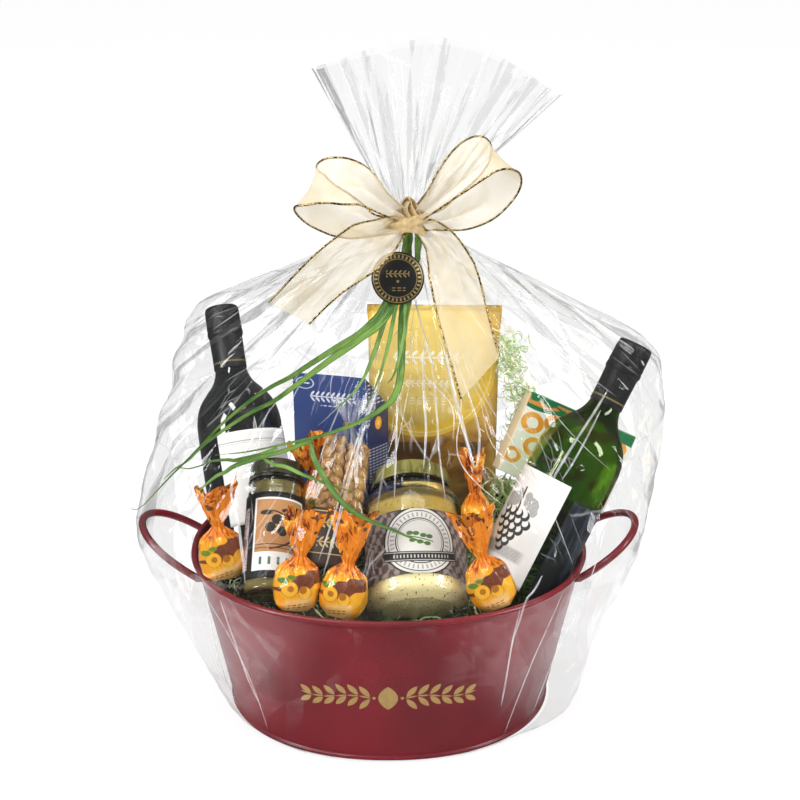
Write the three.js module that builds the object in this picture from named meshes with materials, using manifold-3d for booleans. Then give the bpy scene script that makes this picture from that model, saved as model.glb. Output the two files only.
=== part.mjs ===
// Gift basket: an oval painted tin tub with two wire handles, packed with
// paper shred, two wine bottles, two jars, snack packs and wrapped sweets, all
// inside a clear film bag that is gathered at a neck, tied with a ribbon bow,
// a round tag and a spray of grass leaves, and open above as a pleated fan.
// Millimetres, +Z up, X along the tub's length, -Y is the front.
// The origin is the middle of the flat underside.
import * as THREE from 'three';
import Module from 'manifold-3d';
import { mergeVertices } from 'three/addons/utils/BufferGeometryUtils.js';
import { ConvexHull } from 'three/addons/math/ConvexHull.js';

const wasm = await Module();
wasm.setup();

const { Vector3, Vector2 } = THREE;
const basket = new THREE.Group();
const v = (x, y, z) => new Vector3(x, y, z);

// Driving dimensions
const GAP = 0.3;
const FILM = 0.9;
const FILM_EASE = 3.3;
const TUB = {
  foot: FILM + GAP, height: 143, rimX: 166, rimY: 128, baseX: 138, baseY: 112,
  bend: 2.15, wall: 1.6, floor: 8, rimRoll: 3.4, baseRoll: 2.2, sides: 36,
};
const HANDLE = { wire: 6.4, spread: 40, reach: 50, rise: 34, rootX: 160.5, rootZ: 133 };
const BOTTLE = { length: 300, radius: 37.5, neck: 13, capLength: 60, cap: 15.4 };
const LEFT_BOTTLE = { foot: v(-100.3, -29.6, 64), axis: v(-0.17, 0.55, 0.82).normalize() };
const RIGHT_BOTTLE = { foot: v(73, -61, 65), axis: v(0.455, 0.36, 0.815).normalize() };
const SAUCE_JAR = {
  radius: 25.5, height: 120, foot: v(-97, -79.8, 134), axis: v(0.02, 0.76, 0.65).normalize(),
};
const CREAM_JAR = {
  radius: 44.4, height: 128, foot: v(24.4, -88.6, 127.5), axis: v(-0.05, 0.827, 0.56).normalize(),
};
const NECK = { x: 17, y: 8, z: 432, halfLength: 7, radius: 9.5, throat: 1.6 };
const FAN = { top: 575, leftDrop: 24, rightDrop: 44, midX: 38, halfX: 94, halfY: 42, pleats: 9 };
const FILM_SIDES = 36;
const TURNED_SIDES = 20;
const KNOT = v(17, -17, 438);

const colours = {
  tin: [0x7a232c, 0.35, 0.4], film: [0xf2f4f5, 0.12, 0], blackGlass: [0x0d0e10, 0.08, 0],
  greenGlass: [0x4c7a14, 0.06, 0], foil: [0x17181a, 0.35, 0.3], wine: [0x2c3d10, 0.1, 0],
  clearGlass: [0xe6eae6, 0.05, 0], sauce: [0x6a5a1e, 0.4, 0], cream: [0xd0b14c, 0.45, 0],
  lid: [0x1d1b17, 0.3, 0.7], goldPack: [0xd7a93a, 0.35, 0.2], bluePack: [0x2f3f8e, 0.4, 0],
  cracker: [0xb67f3d, 0.6, 0], carton: [0xe9e7e0, 0.5, 0], sweet: [0xe87b12, 0.3, 0.3],
  ribbon: [0xeadfbc, 0.45, 0], tag: [0x121212, 0.4, 0], leaf: [0x55932c, 0.5, 0],
  shred: [0xc6d6ae, 0.8, 0],
};

function material(key) {
  const [color, roughness, metalness] = colours[key];
  return new THREE.MeshStandardMaterial({ color, roughness, metalness });
}

// A closed, outward-facing triangle mesh from points and triangles.
function closedGeometry(points, triangles) {
  const kept = triangles.filter(([a, b, c]) => a !== b && b !== c && a !== c);
  const volume = kept.reduce((sum, [a, b, c]) => {
    const [p, q, r] = [points[a], points[b], points[c]];
    return sum + p.dot(q.clone().cross(r));
  }, 0);
  const index = kept.flatMap(([a, b, c]) => (volume < 0 ? [a, c, b] : [a, b, c]));
  const geometry = new THREE.BufferGeometry();
  const flat = points.flatMap((p) => [p.x, p.y, p.z]);
  geometry.setAttribute('position', new THREE.Float32BufferAttribute(flat, 3));
  geometry.setIndex(index);
  return geometry;
}

// Skins a stack of rings of equal length; both ends are closed by a middle point.
// From foldRow on the rings come back down, and their facets match the way up.
function loft(rings, foldRow = rings.length) {
  const points = [];
  const triangles = [];
  const sides = rings[0].length;
  const middle = (ring) => ring.reduce((s, p) => s.add(p), v(0, 0, 0)).divideScalar(sides);
  rings.forEach((ring) => points.push(...ring));
  for (let row = 0; row + 1 < rings.length; row += 1) {
    for (let side = 0; side < sides; side += 1) {
      const next = (side + 1) % sides;
      const [a, b] = [row * sides + side, row * sides + next];
      const [c, d] = [a + sides, b + sides];
      triangles.push(...(row < foldRow ? [[a, b, d], [a, d, c]] : [[a, b, c], [b, d, c]]));
    }
  }
  const last = (rings.length - 1) * sides;
  const [first, end] = [points.length, points.length + 1];
  points.push(middle(rings[0]), middle(rings[rings.length - 1]));
  for (let side = 0; side < sides; side += 1) {
    const next = (side + 1) % sides;
    triangles.push([side, first, next], [last + side, last + next, end]);
  }
  return closedGeometry(points, triangles);
}

function pointsOf(geometry) {
  const position = geometry.getAttribute('position');
  return Array.from({ length: position.count }, (_, i) => v(...position.array.slice(3 * i, 3 * i + 3)));
}

// Merged and cleaned copy of a three.js solid, so that it is one closed body.
function welded(geometry) {
  geometry.deleteAttribute('normal');
  geometry.deleteAttribute('uv');
  const merged = mergeVertices(geometry, 1e-3);
  const points = pointsOf(merged);
  const index = Array.from(merged.index.array);
  const triangles = index.flatMap((_, i) => (i % 3 ? [] : [[index[i], index[i + 1], index[i + 2]]]));
  return closedGeometry(points, triangles);
}

function turned(profile, sides) {
  const outline = profile.map(([r, z]) => new Vector2(r, z));
  return welded(new THREE.LatheGeometry(outline, sides).rotateX(Math.PI / 2));
}

function tube(curve, diameter, steps, sides) {
  const section = new THREE.Shape();
  section.absarc(0, 0, diameter / 2, 0, 2 * Math.PI);
  const options = { steps, curveSegments: sides, bevelEnabled: false, extrudePath: curve };
  return welded(new THREE.ExtrudeGeometry(section, options));
}

function toManifold(geometry) {
  return new wasm.Manifold(new wasm.Mesh({
    numProp: 3,
    vertProperties: new Float32Array(geometry.getAttribute('position').array),
    triVerts: new Uint32Array(geometry.index.array),
  }));
}

function fromManifold(solid) {
  const mesh = solid.getMesh();
  const geometry = new THREE.BufferGeometry();
  geometry.setAttribute('position', new THREE.BufferAttribute(new Float32Array(mesh.vertProperties), 3));
  geometry.setIndex(new THREE.BufferAttribute(new Uint32Array(mesh.triVerts), 1));
  return geometry;
}

function piece(name, geometry, finish, parent = basket) {
  const mesh = new THREE.Mesh(geometry, material(finish));
  mesh.name = name;
  parent.add(mesh);
  return mesh;
}

// A group whose +Z runs along axis from foot, with its -Y side turned to the front.
function standing(foot, axis, twist = 0) {
  const side = v(0, 1, 0).cross(axis).normalize();
  const group = new THREE.Group();
  group.matrix.makeBasis(side, axis.clone().cross(side), axis);
  group.quaternion.setFromRotationMatrix(group.matrix);
  group.rotateZ(twist);
  group.position.copy(foot);
  group.updateMatrixWorld(true);
  basket.add(group);
  return group;
}

const signedPower = (value, power) => Math.sign(value) * Math.abs(value) ** power;

function ovalPoint(halfX, halfY, bend, angle, z) {
  const power = 2 / bend;
  return v(halfX * signedPower(Math.cos(angle), power), halfY * signedPower(Math.sin(angle), power), z);
}

function ovalRing(halfX, halfY, bend, z, sides) {
  const turn = (2 * Math.PI) / sides;
  return Array.from({ length: sides }, (_, i) => ovalPoint(halfX, halfY, bend, turn * i, z));
}

// Tub: half axes of the flared wall at a height, with an offset across the wall.
function tubHalf(z, offset = 0) {
  const t = Math.min(Math.max(z / TUB.height, 0), 1);
  return [
    THREE.MathUtils.lerp(TUB.baseX, TUB.rimX, t) + offset,
    THREE.MathUtils.lerp(TUB.baseY, TUB.rimY, t) + offset,
  ];
}

function tubRing(z, offset, sides = TUB.sides) {
  const [halfX, halfY] = tubHalf(z, offset);
  return ovalRing(halfX, halfY, TUB.bend, z, sides);
}

function makeTub() {
  const { foot, height, wall, floor, rimRoll: roll, baseRoll } = TUB;
  const lowerEdge = height - roll;
  const rings = [
    tubRing(floor - 2, -wall),
    tubRing(foot, -wall),
    tubRing(foot, 0.6),
    tubRing(foot + baseRoll, baseRoll),
    tubRing(foot + 2 * baseRoll, 0),
    tubRing(lowerEdge, 0),
    tubRing(lowerEdge + 1, roll * 0.8),
    tubRing(height + 0.4, roll),
    tubRing(height + roll * 0.9, roll * 0.5),
    tubRing(height + roll, -wall * 0.4),
    tubRing(height + roll * 0.3, -wall - roll * 0.5),
    tubRing(lowerEdge, -wall),
    tubRing(floor, -wall),
  ];
  piece('tub', loft(rings), 'tin');
}
makeTub();

// Wire handles: half-oval loops that leave the wall just under the rim.
class HandleArc extends THREE.Curve {
  constructor(side) {
    super();
    this.side = side;
  }

  getPoint(t, target = v(0, 0, 0)) {
    const angle = Math.PI * t;
    const out = Math.sin(angle) ** 0.85;
    return target.set(
      this.side * (HANDLE.rootX + HANDLE.reach * out),
      -HANDLE.spread * Math.cos(angle),
      HANDLE.rootZ + HANDLE.rise * out,
    );
  }
}
const handleArcs = [new HandleArc(-1), new HandleArc(1)];
piece('handle_left', tube(handleArcs[0], HANDLE.wire, 18, 4), 'tin');
piece('handle_right', tube(handleArcs[1], HANDLE.wire, 18, 4), 'tin');

// Bottles: round-shouldered wine bottles with a foil sleeve over the neck.
const { radius: R, neck: NK, length: LEN } = BOTTLE;
const bottleOutside = [
  [R - 5, 0], [R - 1, 1.2], [R, 5], [R, 186], [R - 1.5, 198], [R - 6, 209], [R - 14, 219],
  [NK + 4, 228], [NK, 240], [NK, LEN - 2],
];
const sleeveEnd = LEN - BOTTLE.capLength + 3;
const sleeve = [
  [0, LEN - 2 + GAP], [NK + GAP, LEN - 2 + GAP], [NK + GAP, sleeveEnd], [BOTTLE.cap - 0.8, sleeveEnd],
  [BOTTLE.cap - 0.6, LEN - 27], [BOTTLE.cap + 0.4, LEN - 26], [BOTTLE.cap + 0.4, LEN - 20],
  [BOTTLE.cap - 0.1, LEN - 19], [BOTTLE.cap - 0.6, LEN + 1], [0, LEN + 1],
];
const leftBottle = standing(LEFT_BOTTLE.foot, LEFT_BOTTLE.axis);
const fullBottle = [[0, 0], ...bottleOutside, [0, LEN - 2]];
piece('bottle_red_wine', turned(fullBottle, TURNED_SIDES), 'blackGlass', leftBottle);
piece('capsule_red_wine', turned(sleeve, TURNED_SIDES), 'foil', leftBottle);

const WALL = 2.6;
const bottleInside = [
  [NK - 2.8, LEN - 2], [NK - 2.8, 240], [NK + 1, 230], [R - 15.5, 217], [R - 7.5, 206],
  [R - WALL, 186], [R - WALL, 9], [R - 8, 6.5], [0, 20],
];
const wineLevel = 236;
const rightBottle = standing(RIGHT_BOTTLE.foot, RIGHT_BOTTLE.axis);
const hollowBottle = [[0, 14], [R - 12, 1], ...bottleOutside, ...bottleInside];
piece('bottle_white_wine', turned(hollowBottle, TURNED_SIDES), 'greenGlass', rightBottle);
piece('capsule_white_wine', turned(sleeve, TURNED_SIDES), 'foil', rightBottle);
const wineProfile = [
  [0, 20 + 1.2], [R - 8.4, 7.7], [R - WALL - GAP, 10.4], [R - WALL - GAP, 186], [R - 8, 205.5],
  [R - 16.2, 216.2], [NK + 0.4, 229.6], [NK - 2, wineLevel], [0, wineLevel],
];
piece('wine_white', turned(wineProfile, TURNED_SIDES), 'wine', rightBottle);

// Jars: clear glass with a thick heel and a rounded shoulder, a filling up to
// the shoulder and a pressed metal lid over the open mouth.
function jar(spec, names, finish) {
  const { radius: r, height: h } = spec;
  const [wall, mouth, lid] = [2.2, r * 0.72, 14];
  const shoulder = h - lid - 5;
  const place = standing(spec.foot, spec.axis);
  const glass = [
    [0, 2.4], [r * 0.66, 2], [r * 0.74, 0], [r - 4, 0.6], [r, r * 0.16], [r, r * 0.34], [r - 1.4, r * 0.5],
    [r - 1.4, shoulder - r * 0.4], [r - 4, shoulder - r * 0.14], [mouth, shoulder],
    [mouth, h - 2], [mouth - wall, h - 2], [mouth - wall, shoulder - 1], [r - 7, shoulder - r * 0.2],
    [r - 1.4 - wall, shoulder - r * 0.44], [r - 1.4 - wall, r * 0.3], [r - 7, 5], [0, 5],
  ];
  piece(names[0], turned(glass, TURNED_SIDES), 'clearGlass', place);
  const filling = [
    [0, 5 + GAP], [r - 7.4, 5.4 + GAP], [r - 1.8 - wall, r * 0.3 + 0.6],
    [r - 1.8 - wall, shoulder - r * 0.44 - 0.4],
    [r - 7.5, shoulder - r * 0.2 - 0.5], [0, shoulder - r * 0.2 - 0.5],
  ];
  piece(names[1], turned(filling, TURNED_SIDES), finish, place);
  const cap = [
    [0, h - 2 + GAP], [mouth + GAP, h - 2 + GAP], [mouth + GAP, h - lid], [mouth + 1.6, h - lid],
    [mouth + 1.6, h - 1.6], [mouth + 0.4, h], [0, h],
  ];
  piece(names[2], turned(cap, TURNED_SIDES), 'lid', place);
}
jar(SAUCE_JAR, ['jar_sauce', 'sauce', 'lid_sauce'], 'sauce');
jar(CREAM_JAR, ['jar_cream', 'cream', 'lid_cream'], 'cream');

// Packs: each stands on its lower edge and leans back against what is behind.
const PACKS = {
  pack_gold: {
    size: [118, 28, 190], foot: v(38, 74, 138), axis: v(0.01, 0.13, 0.99),
    twist: 0, sealed: true, finish: 'goldPack',
  },
  pack_blue: {
    size: [74, 38, 138], foot: v(-40, 38.5, 141), axis: v(-0.02, 0.22, 0.975),
    twist: -0.5, finish: 'bluePack',
  },
  pack_crackers: {
    size: [42, 24, 118], foot: v(-48, -48, 144), axis: v(0.12, 0.5, 0.85),
    twist: 0, sealed: true, finish: 'cracker',
  },
  carton_green: {
    size: [104, 24, 66], foot: v(142.5, 46.5, 180), axis: v(0.395, 0.359, 0.84),
    twist: 0.016, finish: 'carton',
  },
};

// A flat bag: flattened oval sections that close to thin sealed edges at both ends.
function pouch([width, depth, height]) {
  const rows = 7;
  const rings = [];
  for (let row = 0; row < rows; row += 1) {
    const t = row / (rows - 1);
    const fat = Math.sin(Math.PI * Math.min(Math.max(t * 1.06 - 0.03, 0), 1)) ** 0.55;
    const half = Math.max(1, (depth / 2) * fat);
    rings.push(ovalRing(width / 2 - 2 * fat, half, 3, t * height, 12));
  }
  return loft(rings);
}

Object.entries(PACKS).forEach(([name, pack]) => {
  const place = standing(pack.foot, pack.axis.clone().normalize(), pack.twist);
  const [width, depth, height] = pack.size;
  const box = () => welded(new THREE.BoxGeometry(width, depth, height).translate(0, 0, height / 2));
  piece(name, pack.sealed ? pouch(pack.size) : box(), pack.finish, place);
});

// Sweets: a pillow-shaped sweet in foil, gathered at a neck under a flared twist.
const SWEETS = [
  { foot: v(-138, -61, 151), axis: v(-0.12, 0.22, 0.97), twist: 0.25 },
  { foot: v(-74.3, -102.6, 146), axis: v(0.1, 0.3, 0.94), twist: 0.25 },
  { foot: v(-37.5, -107.5, 143), axis: v(0.16, 0.28, 0.94), twist: -0.3 },
  { foot: v(88, -100, 147), axis: v(-0.3, 0.2, 0.93), twist: 0.1 },
  { foot: v(74.6, -37, 166), axis: v(-0.05, 0.3, 0.95), twist: 1.4 },
  { foot: v(-53, 3.5, 162), axis: v(-0.22, 0.14, 0.965), twist: 0.8 },
];

function sweetGeometry() {
  const sides = 10;
  const rows = [
    [12, 7, 1, 0], [18, 11.5, 9, 0], [19, 12.5, 22, 0], [16, 11, 34, 0],
    [6, 5, 43, 0], [4.6, 4, 47, 0], [9.5, 6, 57, 0.18], [16.5, 10, 77, 0.26],
  ];
  const rings = rows.map(([halfX, halfY, z, ruffle]) => Array.from({ length: sides }, (_, i) => {
    const fold = 1 + ruffle * (i % 2 ? -1 : 1);
    return ovalPoint(halfX * fold, halfY * fold, 2.5, (2 * Math.PI * i) / sides, z);
  }));
  return loft(rings);
}
SWEETS.forEach((sweet, i) => {
  const place = standing(sweet.foot, sweet.axis.normalize(), sweet.twist);
  piece(`sweet_${i + 1}`, sweetGeometry(), 'sweet', place);
});

// Heaps of paper shred behind the goods, which the film is pulled over too.
function mound(centre, half) {
  const rows = [[1, 0], [0.97, 0.4], [0.86, 0.74], [0.5, 1]];
  const ring = ([scale, rise]) => ovalRing(half.x * scale, half.y * scale, 2.4, half.z * rise, 12);
  const rings = rows.map(ring);
  return loft(rings.map((ring, row) => ring.map((p, i) => {
    const ragged = 1 + 0.07 * Math.sin(i * 2.4 + row * 1.7);
    return v(p.x * ragged, p.y * ragged, p.z).add(centre);
  })));
}

const mounds = [
  mound(v(112, 80, 100), v(13, 17, 224)),
  mound(v(-112, 72, 100), v(38, 30, 92)),
  mound(v(-46, 70, 100), v(36, 34, 120)),
  mound(v(104, 48, 100), v(40, 36, 74)),
];

// Points that the film is pulled over, each with ease round it.
basket.updateMatrixWorld(true);
function cornersOf(name, grow) {
  const mesh = basket.getObjectByName(name);
  mesh.geometry.computeBoundingBox();
  const centre = mesh.geometry.boundingBox.getCenter(v(0, 0, 0));
  const half = mesh.geometry.boundingBox.getSize(v(0, 0, 0)).divideScalar(2);
  return pointsOf(mesh.geometry).map((p) => {
    const out = p.clone().sub(centre).divide(half).normalize().multiplyScalar(grow);
    return mesh.localToWorld(p.add(out));
  });
}
const packedNames = [
  'bottle_red_wine', 'capsule_red_wine', 'bottle_white_wine', 'capsule_white_wine',
  'jar_sauce', 'jar_cream', ...Object.keys(PACKS), ...SWEETS.map((_, i) => `sweet_${i + 1}`),
];
function neckRing(z, radius) {
  return ovalRing(radius, radius, 2, z, FILM_SIDES).map((p) => p.add(v(NECK.x, NECK.y, 0)));
}
const easeOf = (name) => FILM_EASE * (name.startsWith('capsule') ? 2.2 : 1.5);
const contacts = packedNames.flatMap((name) => cornersOf(name, easeOf(name)));
mounds.flatMap(pointsOf).filter((p) => p.z > TUB.height).forEach((p) => {
  contacts.push(p.add(v(p.x, p.y, 0).setLength(FILM_EASE)));
});
const beads = [
  [0, TUB.baseRoll], [10, TUB.baseRoll], [TUB.height - 4, TUB.rimRoll], [TUB.height + 5, TUB.rimRoll],
];
contacts.push(...beads.flatMap(([z, bead]) => tubRing(z, bead + FILM_EASE, 32)));
handleArcs.forEach((arc) => {
  const grow = HANDLE.wire / 2 + FILM_EASE;
  for (let t = 0.1; t <= 0.9; t += 0.1) {
    const p = arc.getPoint(t);
    contacts.push(...[-1, 1].map((s) => p.clone().add(v(arc.side * grow, 0, s * grow * 0.7))));
  }
});
const slack = [v(172, -2, 9), v(152, -56, 4), v(158, 50, 4), v(231, 12, 238), v(-201, 20, 232)];
contacts.push(...slack);
contacts.push(...neckRing(NECK.z - NECK.halfLength, NECK.radius));
const hull = new ConvexHull().setFromPoints(contacts);

// How far the taut film lies from a point inside it, in one direction.
function filmReach(from, direction) {
  return hull.faces.reduce((least, face) => {
    const slope = face.normal.dot(direction);
    return slope > 1e-6 ? Math.min(least, (face.constant - face.normal.dot(from)) / slope) : least;
  }, Infinity);
}

// The film: flat under the tub, taut over the contents, gathered to the neck,
// and pleated outwards above it. One thin skin with its mouth at the top.
const bagHeights = [8, 60, 112, 140, 166, 208, 250, 285, 305, 325, 350, 380, 408];

// The reach at an angle, eased so that the flat facets stay outside the contents.
function roundReach(middle, angle) {
  const half = Math.PI / FILM_SIDES;
  const near = [-half, 0, half].flatMap((turn) => [-4, 0, 4].map((rise) => {
    const from = middle.clone().setZ(Math.max(2, Math.min(middle.z + rise, NECK.z - NECK.halfLength - 1)));
    return filmReach(from, v(Math.cos(angle + turn), Math.sin(angle + turn), 0));
  }));
  return Math.max(...near);
}

function bagRing(z, inset) {
  const t = z / NECK.z;
  const middle = v(NECK.x * t, NECK.y * t, z);
  return Array.from({ length: FILM_SIDES }, (_, i) => {
    const angle = (2 * Math.PI * i) / FILM_SIDES;
    const direction = v(Math.cos(angle), Math.sin(angle), 0);
    const gather = 1.6 * Math.cos(FAN.pleats * angle) * Math.max(0, t - 0.55);
    const waist = 8 * Math.max(0, Math.cos(angle)) ** 8 * Math.sin(Math.PI * Math.min(z / 130, 1)) ** 2;
    const reach = roundReach(middle, angle) + gather - waist - inset;
    return middle.clone().addScaledVector(direction, reach);
  });
}

function fanRing(t, inset) {
  const spread = t ** 0.82;
  const halfX = THREE.MathUtils.lerp(NECK.radius, FAN.halfX, spread);
  const halfY = THREE.MathUtils.lerp(NECK.radius, FAN.halfY, spread);
  return Array.from({ length: FILM_SIDES }, (_, i) => {
    const angle = (2 * Math.PI * i) / FILM_SIDES;
    const [across, back] = [Math.cos(angle), Math.sin(angle)];
    const pleat = 1 + (0.1 * t + 0.02) * Math.cos(FAN.pleats * angle);
    const drop = FAN.leftDrop * Math.max(0, -across) ** 1.6 + FAN.rightDrop * Math.max(0, across) ** 1.6;
    const top = FAN.top - drop - 5 * Math.max(0, Math.cos(FAN.pleats * angle)) - 6 * Math.max(0, back);
    const thin = 1 - inset / Math.hypot(halfX * across, halfY * back);
    return v(
      THREE.MathUtils.lerp(NECK.x, FAN.midX, spread) + halfX * across * pleat * thin,
      NECK.y + halfY * back * pleat * thin,
      THREE.MathUtils.lerp(NECK.z + NECK.halfLength, top, t),
    );
  });
}

function makeFilm() {
  const fanSteps = [0.06, 0.2, 0.42, 0.7, 1];
  const [halfX, halfY] = [TUB.baseX + TUB.baseRoll, TUB.baseY + TUB.baseRoll];
  const sole = (z) => ovalRing(halfX, halfY, TUB.bend, z, FILM_SIDES);
  const outside = [
    sole(0), ...bagHeights.map((z) => bagRing(z, 0)), neckRing(NECK.z - NECK.halfLength, NECK.radius),
    neckRing(NECK.z + NECK.halfLength, NECK.radius), ...fanSteps.map((t) => fanRing(t, 0)),
  ];
  const inside = [
    sole(FILM), ...bagHeights.map((z) => bagRing(z, FILM)), neckRing(NECK.z - NECK.halfLength, NECK.throat),
    neckRing(NECK.z + NECK.halfLength, NECK.throat), ...fanSteps.map((t) => fanRing(t, FILM)),
  ];
  piece('film', loft([...outside, ...inside.reverse()], outside.length), 'film');
}
makeFilm();

// A point lifted off the film's front face along the face's own normal.
basket.updateMatrixWorld(true);
const sight = new THREE.Raycaster();
const film = basket.getObjectByName('film');
function onFront(x, z, lift) {
  let hit;
  for (let inward = 0; !hit; inward += 3) {
    const from = v(x - Math.sign(x - NECK.x) * inward, -TUB.rimX * 2, z);
    sight.set(from, v(0, 1, 0));
    [hit] = sight.intersectObject(film);
  }
  return hit.point.clone().addScaledVector(hit.face.normal, lift);
}

// A curve given by places and lifts that follows the film's front face.
class FrontCurve extends THREE.Curve {
  constructor(route) {
    super();
    this.path = new THREE.CatmullRomCurve3(route.map(([x, z, lift]) => v(x, z, lift)));
  }

  getPoint(t, target = v(0, 0, 0)) {
    const place = this.path.getPoint(t);
    return target.copy(onFront(place.x, place.y, place.z));
  }
}

// A flat strip along a curve: four corners at each step, tapering by width(t).
function strip(curve, across, width, thickness, steps, crease = 0) {
  const rings = [];
  for (let step = 0; step <= steps; step += 1) {
    const t = step / steps;
    const p = curve.getPoint(t);
    const along = curve.getTangent(t);
    const side = across(t, p);
    side.addScaledVector(along, -side.dot(along)).normalize();
    const face = along.clone().cross(side).normalize();
    const [half, thick] = [width(t) / 2, thickness / 2];
    const corner = ([s, f]) => p.clone().addScaledVector(side, s * half)
      .addScaledVector(face, f * thick + Math.abs(s) * crease * half);
    const section = crease
      ? [[-1, -1], [0, -1], [1, -1], [1, 1], [0, 1], [-1, 1]]
      : [[-1, -1], [1, -1], [1, 1], [-1, 1]];
    rings.push(section.map(corner));
  }
  return loft(rings);
}

// Bow: two sheer ribbon loops, a wrapped knot and two tails over the film.
const RIBBON = { width: 38, thick: 0.7 };
class LoopCurve extends THREE.Curve {
  constructor(out, depth) {
    super();
    this.out = out;
    this.depth = depth;
  }

  getPoint(t, target = v(0, 0, 0)) {
    const s = 0.038 + 0.924 * t;
    target.copy(KNOT).addScaledVector(this.out, Math.sin(Math.PI * s));
    target.y -= 9 + 16 * Math.sin(Math.PI * s) + this.depth * Math.sin(2 * Math.PI * s);
    return target;
  }
}
const loops = { bow_loop_left: v(-76, 0, 38), bow_loop_right: v(72, 0, 60) };
Object.entries(loops).forEach(([name, out]) => {
  const across = v(-out.z, 0, out.x).normalize();
  const curve = new LoopCurve(out, 15);
  const width = (t) => 13 + (RIBBON.width - 13) * Math.sin(Math.PI * (0.04 + 0.92 * t)) ** 0.7;
  piece(name, strip(curve, () => across.clone(), width, RIBBON.thick, 22), 'ribbon');
});
const knotMiddle = KNOT.clone().add(v(0, 4, -3));
const knotRing = ([z, x, y]) => ovalRing(x, y, 2.4, z, 12).map((p) => p.add(knotMiddle));
const lump = loft([[-9, 5, 5], [-6, 8, 9], [0, 9, 11], [5, 8, 9], [9, 5, 5]].map(knotRing));
const bandOutline = [[10.2, -6], [12.6, -5], [13.4, 0], [12.6, 5], [10.2, 6], [10.2, -6]];
const band = turned(bandOutline, 14).translate(NECK.x, NECK.y, NECK.z);
piece('bow_knot', welded(fromManifold(toManifold(lump).add(toManifold(band)))), 'ribbon');
const tails = {
  bow_tail_left: [[8, -24, 426], [-18, -38, 419], [-46, -52, 402], [-73, -60, 383]],
  bow_tail_right: [[29, -22, 430], [43, -36, 398], [57, -60, 366], [69, -80, 334]],
};
Object.entries(tails).forEach(([name, route]) => {
  const curve = new THREE.CatmullRomCurve3(route.map(([x, y, z]) => v(x, y, z)));
  const width = (t) => 14 + (RIBBON.width - 14) * Math.min(1, t * 1.8);
  const across = (t) => v(0, 1, 0).cross(curve.getTangent(t)).add(v(0, 0.3 * Math.sin(5 * t), 0));
  piece(name, strip(curve, across, width, RIBBON.thick, 12), 'ribbon');
});

// Tag: a round card hanging flat against the leaves.
const tagPlace = standing(onFront(7, 391, 14), v(0, -0.93, 0.36).normalize());
const TAG = { radius: 20.5, thick: 1.2 };
const tagOutline = [[0, 0], [TAG.radius, 0], [TAG.radius, TAG.thick], [0, TAG.thick]];
piece('tag', turned(tagOutline, 24), 'tag', tagPlace);

// Grass: long flat leaves that hang from the knot over the front of the bag.
const LEAVES = [
  {
    width: 6,
    route: [[13, 404, 6], [-1, 376, 7], [-20, 353, 8], [-73, 318, 10], [-135, 269, 10], [-204, 188, 10]],
  },
  {
    width: 7,
    route: [[14, 404, 8], [3, 372, 9.5], [-19, 349, 13], [-80, 304, 13], [-138, 262, 13], [-170, 230, 12]],
  },
  {
    width: 6,
    route: [[17, 404, 5], [11, 363, 6], [8, 317, 7], [-10, 298, 7], [-53, 281, 7], [-134, 257, 6]],
  },
  { width: 6, route: [[-57, 278, 10], [-77, 269, 10], [-119, 253, 10], [-147, 229, 9]] },
  { width: 5, route: [[-59, 277, 6], [-55, 263, 6], [-31, 233, 6], [11, 214, 6], [33, 207, 6]] },
  { width: 5, route: [[11, 404, 3], [0, 369, 4], [-19, 322, 5], [-43, 297, 5]] },
  { width: 5, route: [[23, 404, 6], [18, 375, 9], [7, 331, 11], [0, 318, 11]] },
];
LEAVES.forEach((leaf, i) => {
  const curve = new FrontCurve(leaf.route);
  const width = (t) => Math.max(0.8, leaf.width * Math.min(1, 0.5 + 3 * t, 4 * (1 - t)));
  const across = (t, p) => v(0, 1, 0).cross(curve.getTangent(t)).add(v(0, 0.25 * Math.sin(9 * t + p.x), 0));
  piece(`leaf_${i + 1}`, strip(curve, across, width, 0.6, 9, 0.18), 'leaf');
});

// Paper shred: it fills the tub under the goods and heaps up behind them, with
// curled strips on the heap; what stands in it is cut out with a small gap.
function shredBed() {
  const sides = 28;
  const ring = (scale, z) => {
    const [halfX, halfY] = tubHalf(Math.min(z, TUB.height), -TUB.wall - GAP * 2);
    return ovalRing(halfX * scale, halfY * scale, TUB.bend, z, sides);
  };
  const bump = (p) => 3.5 * Math.sin(p.x * 0.11) * Math.cos(p.y * 0.13)
    + 2.5 * Math.sin(p.x * 0.23 + p.y * 0.19);
  const top = ([scale, z, back]) => ring(scale, z).map((p) => p.setZ(z + bump(p) + back * Math.max(0, p.y)));
  const heaped = [[0.94, 122, 0.1], [0.6, 124, 0.2], [0.25, 116, 0.1]];
  return loft([ring(1, TUB.floor + GAP), ring(1, 112), ...heaped.map(top)]);
}

function curl(seed) {
  const spin = seed * 2.399;
  const radius = 5.5 + 2 * Math.sin(seed * 1.7);
  const centre = v(112 + 5 * Math.sin(spin), 86 + 3 * Math.cos(spin * 1.3), 190 + 15 * seed);
  const arc = new THREE.CatmullRomCurve3([0, 1, 2, 3].map((k) => {
    const angle = spin + k * 1.15;
    return centre.clone().add(v(radius * Math.cos(angle), -7 + 1.5 * k, radius * Math.sin(angle)));
  }));
  return strip(arc, () => v(0, 1, 0.2), () => 3, 0.8, 5);
}

function grown(name, amount) {
  const corners = cornersOf(name, amount);
  const solid = new ConvexHull().setFromPoints(corners);
  const points = [];
  const triangles = solid.faces.map((face) => {
    const start = points.length;
    points.push(...[face.edge, face.edge.next, face.edge.next.next].map((edge) => edge.head().point));
    return [start, start + 1, start + 2];
  });
  return toManifold(welded(closedGeometry(points, triangles)));
}

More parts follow.
